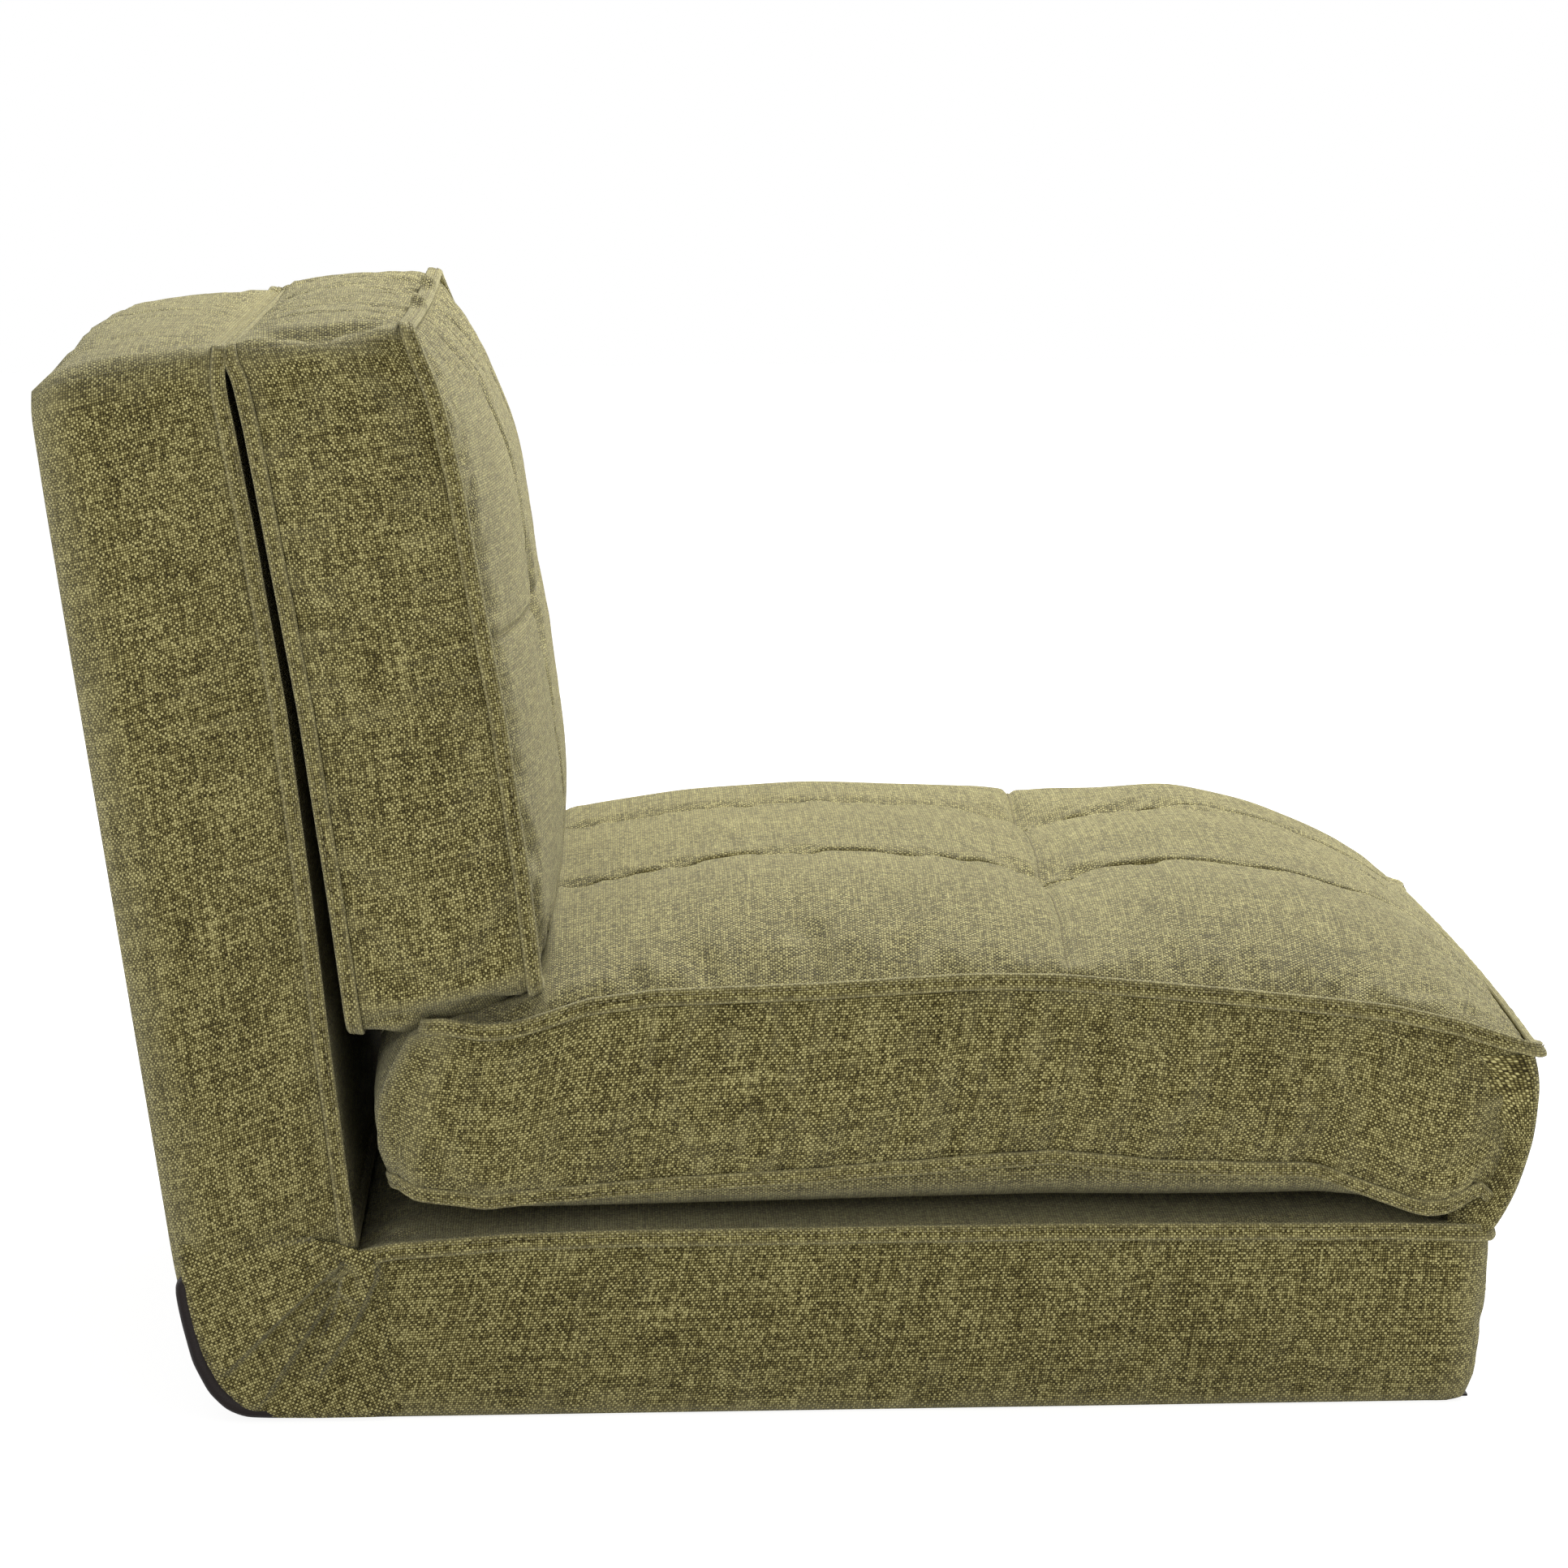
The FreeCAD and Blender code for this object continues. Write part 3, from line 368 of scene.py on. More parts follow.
def round_corners(a, b, low_a, high_a, half, radius):
    """Pulls the corners of a rectangular outline onto arcs."""
    a, b = a.copy(), b.copy()
    for end, inner_a in ((1, high_a - radius), (-1, low_a + radius)):
        for side in (1, -1):
            x = (a - inner_a) * end / radius
            y = (b * side - (half - radius)) / radius
            hit = (x > 0) & (y > 0)
            new_x = x * np.sqrt(1 - np.clip(y, 0, 1) ** 2 / 2)
            new_y = y * np.sqrt(1 - np.clip(x, 0, 1) ** 2 / 2)
            a = np.where(hit, inner_a + end * radius * new_x, a)
            b = np.where(hit, side * (half - radius + radius * new_y), b)
    return a, b


def slab_panels(shape):
    """The six grids of a slab: face, back and the four strips of boxing, as (a, b, c) in millimetres."""
    count_a, count_b, count_c = shape["cells"]
    s = np.linspace(0, 1, count_a + 1)
    t = np.linspace(0, 1, count_b + 1)
    h = np.linspace(0, 1, count_c + 1)

    def panel(seam, half, rise):
        seam = np.asarray(seam, float)
        first, last = seam[0, 0], seam[-1, 0]
        grid_s, grid_t = np.meshgrid(s, t, indexing="ij")
        a, b = first + (last - first) * grid_s, half * (2 * grid_t - 1)
        c = along(seam, a)
        pull = 1 - (2 * grid_t - 1) ** 2
        inward = (shape.get("start_pull", 0.0) * (1 - grid_s) ** END_PULL_POWER
                  - shape.get("finish_pull", 0.0) * grid_s ** END_PULL_POWER)
        a = a + pull * inward
        a, b = round_corners(a, b, first, last, half, shape["corner"])
        return np.stack([a, b, c + rise(a, b, grid_s, grid_t)], axis=-1)

    face = panel(shape["high"], shape["half"], shape["crown"])
    back = panel(shape["low"], shape["half"] - shape.get("low_in", 0.0), shape["sag"])
    middle_a = (face[:, :, 0].min() + face[:, :, 0].max()) / 2

    def strip(low_edge, high_edge, fraction, end):
        """Boxing between two edges, swelling outwards between them."""
        points = low_edge[:, None, :] * (1 - h)[None, :, None] + high_edge[:, None, :] * h[None, :, None]
        edge = (low_edge + high_edge) / 2
        tangent = np.gradient(edge[:, :2], axis=0)
        normal = np.stack([tangent[:, 1], -tangent[:, 0]], axis=-1)
        normal /= np.linalg.norm(normal, axis=1)[:, None] + TINY
        outward = edge[:, :2] - np.array([middle_a, 0.0])
        normal *= np.sign(np.sum(normal * outward, axis=1).sum()) or 1.0
        points[:, :, :2] += normal[:, None, :] * shape["boxing"](fraction, h, end)[:, :, None]
        points[:, 0], points[:, -1] = low_edge, high_edge
        return points

    strips = [strip(back[:, 0], face[:, 0], s, "near"), strip(back[:, -1], face[:, -1], s, "far"),
              strip(back[0, :], face[0, :], t, "start"), strip(back[-1, :], face[-1, :], t, "finish")]
    corners = [(0, 0, 2, 0), (0, -1, 3, 0), (1, 0, 2, -1), (1, -1, 3, -1)]
    for side, side_end, other, other_end in corners:
        shared = (strips[side][side_end] + strips[other][other_end]) / 2
        strips[side][side_end] = strips[other][other_end] = shared
    return [face, back] + strips


def weld(panels):
    """One list of points for all the grids, and each grid's indices into it."""
    flat = np.concatenate([p.reshape(-1, 3) for p in panels])
    keys = np.round(flat / WELD_STEP).astype(np.int64)
    _, first, inverse = np.unique(keys, axis=0, return_index=True, return_inverse=True)
    inverse = inverse.reshape(-1)
    tables, start = [], 0
    for p in panels:
        size = p.shape[0] * p.shape[1]
        tables.append(inverse[start:start + size].reshape(p.shape[:2]))
        start += size
    return flat[first], tables


def grid_faces(table):
    """The four-sided faces of one grid of indices."""
    quads = np.stack([table[:-1, :-1], table[1:, :-1], table[1:, 1:], table[:-1, 1:]], axis=-1).reshape(-1, 4)
    return [tuple(int(i) for i in quad) for quad in quads]


def grid_normals(grid):
    """Unit normals of a grid."""
    normal = np.cross(np.gradient(grid, axis=0), np.gradient(grid, axis=1))
    return normal / (np.linalg.norm(normal, axis=2)[:, :, None] + TINY)


print("a slab is six grids: face, back and four strips of boxing")

# %% [markdown]
# ## Blowing up the padding
# Padding presses the cloth out between its seams. The swells could be drawn by formula alone, but they
# would look stiff. So Blender's cloth runs for twenty frames with pressure from inside and no gravity.
# The seams are held, the cloth is let out by a few percent so that it has something to gather, and no
# point may travel further than a set distance. The movement is then kept as a plain offset and the cloth
# is thrown away.

# %% The cloth step
CLOTH_FRAMES = 20
CLOTH_SETTINGS = {"quality": 6, "mass": 0.3, "tension_stiffness": 12.0, "compression_stiffness": 12.0,
                  "shear_stiffness": 6.0, "bending_stiffness": 0.4, "use_pressure": True}
CLOSE_OFFSETS = (0.12, 0.25, 0.375, 0.75)
LONG_WAVE, SHORT_WAVE, SHORT_SHARE = 13.0, 5.5, 0.6


def cloth_piece(points, tables, held):
    """The slab as one closed mesh whose seams are in a vertex group."""
    mesh = bpy.data.meshes.new("puff")
    faces = [face for table in tables for face in grid_faces(table)]
    mesh.from_pydata([tuple(p * MM) for p in points], [], faces)
    work = bmesh.new()
    work.from_mesh(mesh)
    bmesh.ops.recalc_face_normals(work, faces=work.faces)
    work.to_mesh(mesh)
    work.free()
    piece = bpy.data.objects.new("puff", mesh)
    scene.collection.objects.link(piece)
    seams = piece.vertex_groups.new(name="seams")
    seams.add([int(i) for i in np.flatnonzero(held)], 1.0, "REPLACE")
    return piece


def puff(points, tables, held, shape):
    """Where the points go when the cloth is pressed outwards; points in millimetres."""
    piece = cloth_piece(points, tables, held)
    cloth = piece.modifiers.new("cloth", "CLOTH")
    for key, value in CLOTH_SETTINGS.items():
        setattr(cloth.settings, key, value)
    cloth.settings.uniform_pressure_force = shape["pressure"]
    cloth.settings.shrink_min = -shape["let_out"]
    cloth.settings.vertex_group_mass = "seams"
    cloth.settings.effector_weights.gravity = 0.0
    cloth.collision_settings.use_collision = False
    cloth.point_cache.frame_start, cloth.point_cache.frame_end = 1, CLOTH_FRAMES
    for frame_number in range(1, CLOTH_FRAMES + 1):
        scene.frame_set(frame_number)
    shaped = piece.evaluated_get(bpy.context.evaluated_depsgraph_get())
    moved = np.array([v.co for v in shaped.data.vertices]) / MM
    scene.frame_set(1)
    bpy.data.objects.remove(piece)
    step = moved - points
    length = np.linalg.norm(step, axis=1)[:, None]
    return points + step * np.minimum(1.0, shape["cap"] / np.maximum(length, 1e-6))


def at_places(grid, rows, columns):
    """The same surface at other places along its rows and columns, on smooth curves through its points."""
    def one_way(values, places):
        first = np.clip(np.floor(places).astype(int), 0, len(values) - 2)
        f = (places - first)[:, None, None]
        a, b = values[np.maximum(first - 1, 0)], values[first]
        c, d = values[first + 1], values[np.minimum(first + 2, len(values) - 1)]
        bend, twist = 2 * a - 5 * b + 4 * c - d, 3 * b - a - 3 * c + d
        return (2 * b + (c - a) * f + bend * f ** 2 + twist * f ** 3) / 2
    return np.swapaxes(one_way(np.swapaxes(one_way(grid, rows), 0, 1), columns), 0, 1)


def fine_places(cells, lines=()):
    """Places at half cells, and closer beside each sewn line."""
    places = set(np.arange(0, cells + 0.25, 0.5).round(3).tolist())
    for line in lines:
        places |= {round(line + way * offset, 3) for way in (-1, 1) for offset in CLOSE_OFFSETS}
    return np.array(sorted(places))


def outward_normals(grid, middle):
    """Unit normals of a grid that point away from the slab's middle."""
    normal = grid_normals(grid)
    return normal * (np.sign(np.sum(normal * (grid - middle))) or 1.0)


def gather(position, seed):
    """A wavy number, mostly between -1 and 1, for small gathers along a seam; position in millimetres."""
    long_wave = noise.noise(Vector((position / LONG_WAVE, seed, 0.0)))
    return long_wave + SHORT_SHARE * noise.noise(Vector((position / SHORT_WAVE, seed, 7.0)))


def gather_row(values, seed):
    """The gathers at many places along a seam."""
    return np.array([gather(float(v), seed) for v in values])


print("cloth step: %d frames a slab" % CLOTH_FRAMES)

# %% [markdown]
# ## Small gathers, dents and sewn lines
# Beside its seams real cloth has small gathers, hollows where it is pinched, and a narrow groove along
# each sewn line. A much finer cloth step could make them, but it would be slow and they would fall
# anywhere. So every grid is made twice as fine after the cloth step, and the details are pressed in by
# formula where they are wanted.

# %% Press details into a grid
LINE_WIDTH, PUCKER_GAP, PUCKER_REACH = 2.6, 2.0, 11.0
PUCKER_DEPTH, PUCKER_STRETCH = 0.9, 0.8
GATHER_REACH = 13.0
RAY_GAP, RAY_REACH = 5.0, 24.0
LINE_FADE_CELLS = 2.5
SEAM_GAP = 2.5


def clear_border(field):
    """Sets a field to zero along the four edges of its grid, so that the seams stay closed."""
    field[0] = field[-1] = 0
    field[:, 0] = field[:, -1] = 0


def press_dents(grid, number, shape, middle):
    """Pushes hollows into one grid; each is (grid, place, radii, depth), in millimetres."""
    for which, place, radii, depth in shape.get("dents", ()):
        if which == number:
            weight = np.exp(-np.sum(((grid - np.array(place)) / np.array(radii)) ** 2, axis=2))
            clear_border(weight)
            grid -= outward_normals(grid, middle) * (depth * weight)[:, :, None]


def line_sink(places, lines, travel, depth, cell, seed):
    """The groove along sewn lines that run across a grid's first axis, with small puckers beside it."""
    sink = 0
    for number, line in enumerate(lines):
        away = (np.abs(places - line) * cell)[:, None]
        wave = gather_row(travel[len(places) // 2] * PUCKER_STRETCH, seed + 3 * number)[None, :]
        pucker = wave * np.exp(-away / PUCKER_REACH) * (1 - np.exp(-(away / PUCKER_GAP) ** 2))
        sink = sink + depth * np.exp(-(away / LINE_WIDTH) ** 2)
        sink = sink + PUCKER_DEPTH * pucker
    return sink


def press_lines(grid, shape, middle):
    """Draws the cloth down along the sewn lines, and in folds that spread from their crossings."""
    if "line_depth" not in shape:
        return
    rows, columns = shape["fine"]
    depths, cells = shape["line_depth"], shape["cell"]
    sink = np.zeros(grid.shape[:2])
    sink += line_sink(rows, shape["row_lines"], grid[:, :, 1], depths[0], cells[0], 50.0)
    sink += line_sink(columns, shape["column_lines"], grid[:, :, 0].T, depths[1], cells[1], 51.0).T
    for line in shape["row_lines"]:
        for other in shape["column_lines"]:
            row, column = np.abs(rows - line).argmin(), np.abs(columns - other).argmin()
            gap = grid[:, :, :2] - grid[row, column, :2]
            reach, turn = np.linalg.norm(gap, axis=2), np.arctan2(gap[:, :, 1], gap[:, :, 0])
            folds = 0.6 * np.cos(5 * turn + 1.3 * other) + 0.4 * np.cos(9 * turn + 2.1 * other)
            rays = (1 + folds) * np.exp(-reach / RAY_REACH) * (1 - np.exp(-(reach / RAY_GAP) ** 2))
            sink += shape["rays"] * rays
    row_fade = np.minimum(rows, rows[-1] - rows)[:, None] / LINE_FADE_CELLS
    column_fade = np.minimum(columns, columns[-1] - columns)[None, :] / LINE_FADE_CELLS
    fade = np.clip(np.minimum(row_fade, column_fade), 0, 1)
    grid -= outward_normals(grid, middle) * (sink * fade)[:, :, None]


def press_gathers(grid, number, shape):
    """Small wavy dents beside the four edges of a grid, strongest at the seam's own side."""
    reach = shape.get("gather_reach", {}).get(number, GATHER_REACH)
    normal = grid_normals(grid)
    total = np.zeros(grid.shape[:2])
    for which, edge in enumerate((grid[0], grid[-1], grid[:, 0], grid[:, -1])):
        travel = np.concatenate([[0], np.cumsum(np.linalg.norm(np.diff(edge, axis=0), axis=1))])
        wave = gather_row(travel, 11.0 * number + which)
        flat = grid if which < 2 else np.swapaxes(grid, 0, 1)
        flat = flat[::-1] if which in (1, 3) else flat
        away = np.concatenate([np.zeros((1, flat.shape[1])),
                               np.cumsum(np.linalg.norm(np.diff(flat, axis=0), axis=2), axis=0)])
        field = np.exp(-away / reach) * (1 - np.exp(-away / SEAM_GAP)) * wave[None, :]
        field = field[::-1] if which in (1, 3) else field
        total += field if which < 2 else field.T
    clear_border(total)
    grid += normal * (total * shape["gather"])[:, :, None]


print("grids can be pressed")

# %% [markdown]
# ## From grids to a finished cover
# The pressed grids become one closed mesh, as the sewn cover is one bag. The panels could stay pieces of
# their own, but light would show through the slits between them. Each panel keeps its own patch of the UV
# map, in metres, as it would be cut from the cloth.

# %% Build a cover
PATCH_STEP_U, PATCH_STEP_V = 1.7, 0.9
COVER_WELD, FLANGE_WELD = 0.00004, 0.000001


def finish_mesh(mesh, distance):
    """Welds doubled points, turns the faces outwards and shades them smooth."""
    work = bmesh.new()
    work.from_mesh(mesh)
    bmesh.ops.remove_doubles(work, verts=work.verts, dist=distance)
    bmesh.ops.recalc_face_normals(work, faces=work.faces)
    for face in work.faces:
        face.smooth = True
    work.to_mesh(mesh)
    work.free()


def lengths_along(grid, axis):
    """The mean length travelled along one axis of a grid, from 0."""
    steps = np.linalg.norm(np.diff(grid, axis=axis), axis=2).mean(axis=1 - axis)
    return np.concatenate([[0], np.cumsum(steps)])


def mesh_with_weave(name, points, faces, uvs, for_corners=False):
    """A mesh with its weave map; uvs has a row for each point, or for each corner of a face."""
    mesh = bpy.data.meshes.new(name)
    mesh.from_pydata([tuple(p) for p in points], [], faces)
    layer = mesh.uv_layers.new(name="weave")
    if not for_corners:
        corner_points = np.empty(len(mesh.loops), np.int32)
        mesh.loops.foreach_get("vertex_index", corner_points)
        uvs = uvs[corner_points]
    layer.data.foreach_set("uv", uvs.astype(np.float32).ravel())
    return mesh


def add_piece(name, mesh, material):
    """Puts a mesh with its material in the scene."""
    piece = bpy.data.objects.new(name, mesh)
    mesh.materials.append(material)
    scene.collection.objects.link(piece)
    return piece


def held_points(count, tables, shape):
    """1 for each point that the cloth step holds: the seams, the whole back panel and what is sewn."""
    held = np.zeros(count)
    for table in tables:
        for edge in (table[0], table[-1], table[:, 0], table[:, -1]):
            held[edge] = 1.0
    held[tables[1].ravel()] = 1.0
    if "sewn" in shape:
        shape["sewn"](held, tables[0])
    return held


def shaped_grids(shape):
    """The fine grids of a slab after the cloth step, in millimetres."""
    points, tables = weld(slab_panels(shape))
    moved = puff(points, tables, held_points(len(points), tables, shape), shape)
    moved = shape["settle"](moved) if "settle" in shape else moved
    rows = fine_places(shape["cells"][0], shape.get("row_lines", ()))
    columns = fine_places(shape["cells"][1], shape.get("column_lines", ()))
    deep = fine_places(shape["cells"][2])
    ways = [(rows, columns)] * 2 + [(rows, deep)] * 2 + [(columns, deep)] * 2
    grids = [at_places(moved[table], *way) for table, way in zip(tables, ways)]
    shape["fine"] = (rows, columns)
    middle = moved.mean(axis=0)
    for number, grid in enumerate(grids):
        press_gathers(grid, number, shape)
        press_dents(grid, number, shape, middle)
    press_lines(grids[0], shape, middle)
    return grids


def build_cover(name, shape, place, body, replaces):
    """Makes one padded cover and returns its fine grids, in millimetres."""
    grids = shaped_grids(shape)
    count = 0
    coordinates, faces, uvs = [], [], []
    for number, grid in enumerate(grids):
        rows, columns = grid.shape[:2]
        faces += grid_faces(np.arange(rows * columns).reshape(rows, columns) + count)
        count += rows * columns
        coordinates.append(grid.reshape(-1, 3))
        across_u = lengths_along(grid, 0) * MM + PATCH_STEP_U * number
        across_v = lengths_along(grid, 1) * MM + PATCH_STEP_V * number
        uvs.append(np.stack(np.meshgrid(across_u, across_v, indexing="ij"), axis=-1).reshape(-1, 2))
    coordinates = place(np.concatenate(coordinates))
    mesh = mesh_with_weave(name, coordinates, faces, np.concatenate(uvs))
    finish_mesh(mesh, COVER_WELD)
    piece = add_piece(name, mesh, OLIVE)
    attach(piece, body)
    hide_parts(*replaces)
    low, high = coordinates.min(axis=0), coordinates.max(axis=0)
    print(name, len(mesh.polygons), "faces,", np.round(low, 3).tolist(), np.round(high, 3).tolist())
    return grids


print("covers are ready to be made")

# %% [markdown]
# ## The places of the slabs
# The base and the seat lie level. The back and the head lean nine degrees, so their lengths run up the
# lean from the rear lower corner and their thickness runs forwards out of it. A slab could be turned as
# an object. Its points are turned instead, because a finished piece has to sit at the origin, unturned.

# %% Level and leaning places
LEAN = math.radians(9.0)
CORNER_X = -298.0
HALF = 319.0
FACE, NEAR_BOXING, FAR_BOXING, END_BOXING = 0, 2, 3, 5
TUFT_COLUMNS = (1 / 3, 2 / 3)
PLAIN_SLAB = {"half": HALF, "corner": 9.0, "pressure": 2.0, "let_out": 0.012, "cap": 2.5, "gather": 0.8}
FULL_SLAB = {"half": HALF, "corner": 12.0, "pressure": 4.0, "let_out": 0.03, "cap": 5.0,
             "column_lines": (24, 48)}


def level(points):
    """Length, width and thickness in millimetres to x, y, z in metres."""
    return np.asarray(points, float).reshape(-1, 3) * MM


def leaning(points):
    """Length up the lean, width and thickness out of it, in millimetres, to x, y, z in metres."""
    points = np.asarray(points, float).reshape(-1, 3)
    up_lean, across, out = points[:, 0], points[:, 1], points[:, 2]
    x = CORNER_X - math.sin(LEAN) * up_lean + math.cos(LEAN) * out
    z = math.cos(LEAN) * up_lean + math.sin(LEAN) * out
    return np.stack([x, across, z], axis=-1) * MM


def dome(share, power=3.0):
    """1 in the middle of a span and 0 at both ends; share runs from 0 to 1."""
    return 1 - np.abs(2 * share - 1) ** power


def swell(h, power=0.7):
    """The outward curve of boxing between its two seams."""
    return np.clip(np.sin(np.pi * h), 0, 1) ** power


def groove(distance, width):
    """1 on a sewn line, fading to 0 beside it."""
    return np.exp(-(distance / width) ** 2)


def nearest(values, target):
    """The number of the value that is closest to a target."""
    return int(np.argmin(np.abs(np.asarray(values) - target)))


def hold_tufts(held, table, row):
    """Holds the sewn lines up a tufted face, and a small square where the line across meets each."""
    columns = np.linspace(0, 1, table.shape[1])
    for line in TUFT_COLUMNS:
        crossing = nearest(columns, line)
        held[table[row - 1:row + 2, crossing - 1:crossing + 2]] = 1.0
        held[table[:, crossing]] = 1.0


def on_both_sides(dents):
    """Dents in the near and the far boxing, from (length, height, radii, depth)."""
    return [(side, (a, way * HALF, c), radii, depth)
            for side, way in ((NEAR_BOXING, -1), (FAR_BOXING, 1)) for a, c, radii, depth in dents]


print("half width at the seams: %.0f mm" % HALF)

# %% [markdown]
# ## The base
# The base is a plain firm slab. Its top edge has the welt and its rear end is cut on the slant where the
# back folds up against it. Its underside is nearly flat and rests on the floor. A box with rounded edges
# would be simpler, but the real seam sinks towards both ends, so its height is given at a few lengths.

# %% Sew the base
BASE_ROUND, SIDE_SWELL = 2.0, 3.0
REAR_FLAT, REAR_SLOPE = 0.4, 6


def base_boxing(fraction, h, end):
    """The base's sides are nearly flat, and its slanted rear end is quite flat."""
    rounded = BASE_ROUND * (1 - h) * (h > 0)
    if end == "start":
        return np.zeros((len(fraction), len(h)))
    if end == "finish":
        return rounded[None, :] + SIDE_SWELL * swell(h)[None, :] * dome(fraction, 12)[:, None]
    from_rear = np.clip(fraction * REAR_SLOPE - REAR_FLAT, 0, 1)
    return rounded[None, :] + SIDE_SWELL * swell(h)[None, :] * from_rear[:, None]


BASE = dict(
    PLAIN_SLAB, cells=(58, 60, 8), low_in=BASE_ROUND,
    dents=on_both_sides([(-250, 46, (27, 20, 42), 10.0)]),
    high=[(-239, 75), (-232, 82), (-209, 87), (-179, 89), (-149, 91), (-95, 92), (129, 92), (300, 90),
          (353, 88)],
    low=[(-264, 1.6), (-244, 0.5), (332, 0.5), (341, 1.6)],
    crown=lambda a, b, s, t: 1.5 * dome(s, 6) * dome(t, 6),
    sag=lambda a, b, s, t: 0 * a, boxing=base_boxing)
base_grids = build_cover("base_cushion", BASE, level, "base", ["base_cover"])

# %% [markdown]
# ## The back
# The back is as plain as the base. Its rear edge is a plain rounded seam, its front edge has a welt, and
# its lower end is cut on the slant that meets the base's. It could be the base again, turned upright, but
# its top end is a full dome and its thickness grows upwards, so it gets seam lines of its own.

# %% Sew the back
BACK_ROUND = 11.0
TOP_LIFT, TOP_DOME = 3.5, 9.5
TOP_REAR, TOP_REAR_PLACE = 3.0, 0.13


def back_boxing(fraction, h, end):
    """The back's top end is a dome, fullest near its rear edge."""
    rounded = BACK_ROUND * (1 - h) * (h > 0)
    if end == "start":
        return np.zeros((len(fraction), len(h)))
    if end == "finish":
        lift = (TOP_LIFT + TOP_DOME * dome(fraction, 2.6))[:, None]
        out = 0.25 * rounded[None, :] + lift * (swell(h, 0.6) * (1.3 - 0.85 * h))[None, :]
        rear = TOP_REAR * groove(h - TOP_REAR_PLACE, TOP_REAR_PLACE) * (h > 0)
        return out + dome(fraction, 2.2)[:, None] * rear[None, :]
    return rounded[None, :] + SIDE_SWELL * swell(h)[None, :] * dome(fraction, 10)[:, None]


BACK = dict(
    PLAIN_SLAB, cells=(48, 60, 8), low_in=BACK_ROUND, gather_reach={END_BOXING: 40.0},
    dents=on_both_sides([(56, 44, (27, 20, 42), 10.0)]),
    high=[(77, 79), (120, 81), (188, 84), (260, 88), (355, 92), (439, 92), (500, 91), (528, 90), (541, 92)],
    low=[(63, -10), (76, -11), (93, -11), (245, -9), (413, -7), (480, -6), (520, -5), (534, -3.5)],
    crown=lambda a, b, s, t: 2.5 * dome(s, 6) * dome(t, 6),
    sag=lambda a, b, s, t: -1.5 * dome(s, 4) * dome(t, 4), boxing=back_boxing)
back_grids = build_cover("back_cushion", BACK, leaning, "back", ["back_cover"])

# %% [markdown]
# ## The head cushion
# The head cushion has a full front face, tufted into three columns by two sewn lines up it and one
# across. It is pinched at its seams and its lower end sits on the seat's rear. The cloth step alone could
# puff it, but its points would have to travel far and would drift. So a formula gives the face its height
# first, and the cloth only rounds it between the sewn lines.

# %% Sew the head cushion
HEAD_CROSS = 368.0
HEAD_START, HEAD_FINISH = 192, 533
HEAD_CELLS = (40, 72, 10)
HEAD_ROW = round((HEAD_CROSS - HEAD_START) / (HEAD_FINISH - HEAD_START) * HEAD_CELLS[0])
HEAD_FULL = 22.5
HEAD_RISE_FROM, HEAD_RISE_LOW, HEAD_RISE_HIGH = 193, 95, 100
TUFT_WIDTH, CROSS_WIDTH, CROSSING_WIDTH, CROSSING_DEPTH = 16.0, 13.0, 24.0, 6.0
HEAD_SIDE, HEAD_TOP, HEAD_TOP_DOME = 6.0, 1.0, 4.5
HEAD_LOWER_END, LOBE, LOBE_PLACE, LOBE_WIDTH = 5.0, 8.0, 0.22, 0.14
HEAD_REARMOST, HEAD_FOREMOST, HEAD_LOWEST = 101.5, 229.0, 182.0
FOOT_LOBE, FOOT_LOBE_PLACE, FOOT_LOBE_WIDTH = 6.0, 123, 14.0


def head_crown(a, b, s, t):
    """The puffed front of the head cushion, drawn in at its lines and a little more at both ends."""
    rise = 1 - (1 - np.clip((a - HEAD_RISE_FROM) / HEAD_RISE_LOW, 0, 1)) ** 2
    rise = rise * (1 - (1 - np.clip((HEAD_FINISH - a) / HEAD_RISE_HIGH, 0, 1)) ** 2)
    lines, crossings = (np.maximum.reduce([groove((t - line) * 2 * HALF, width) for line in TUFT_COLUMNS])
                        for width in (TUFT_WIDTH, CROSSING_WIDTH))
    crossings = crossings * groove(a - HEAD_CROSS, CROSSING_WIDTH)
    full = HEAD_FULL * rise * dome(t, 3.4)
    full = full * (1 - 0.08 * lines) * (1 - 0.03 * groove(a - HEAD_CROSS, CROSS_WIDTH))
    full = full - CROSSING_DEPTH * crossings * rise
    low_end, high_end = np.clip((440 - a) / 150, 0, 1), np.clip((a - 430) / 50, 0, 1)
    return full * (1 - 0.13 * low_end - 0.12 * high_end)


def head_boxing(fraction, h, end):
    """The head's sides swell, and its lower end has a lobe near the back."""
    if end == "start":
        lobe = HEAD_LOWER_END * swell(h) + LOBE * groove(h - LOBE_PLACE, LOBE_WIDTH) * (h > 0)
        return lobe[None, :] * dome(fraction, 14)[:, None]
    if end == "finish":
        return swell(h)[None, :] * (HEAD_TOP + HEAD_TOP_DOME * dome(fraction, 2.4))[:, None]
    return HEAD_SIDE * swell(h)[None, :] * (0.35 + 0.65 * dome(fraction, 6))[:, None]


def settle_head(points):
    """Keeps the head cushion off the back and above the seat's rear."""
    points = points.copy()
    points[:, 2] = np.maximum(points[:, 2], HEAD_REARMOST)
    foot = HEAD_LOWEST - FOOT_LOBE * groove(points[:, 2] - FOOT_LOBE_PLACE, FOOT_LOBE_WIDTH)
    points[:, 0] = np.maximum(points[:, 0], foot)
    points[:, 2] = np.minimum(points[:, 2], HEAD_FOREMOST)
    return points


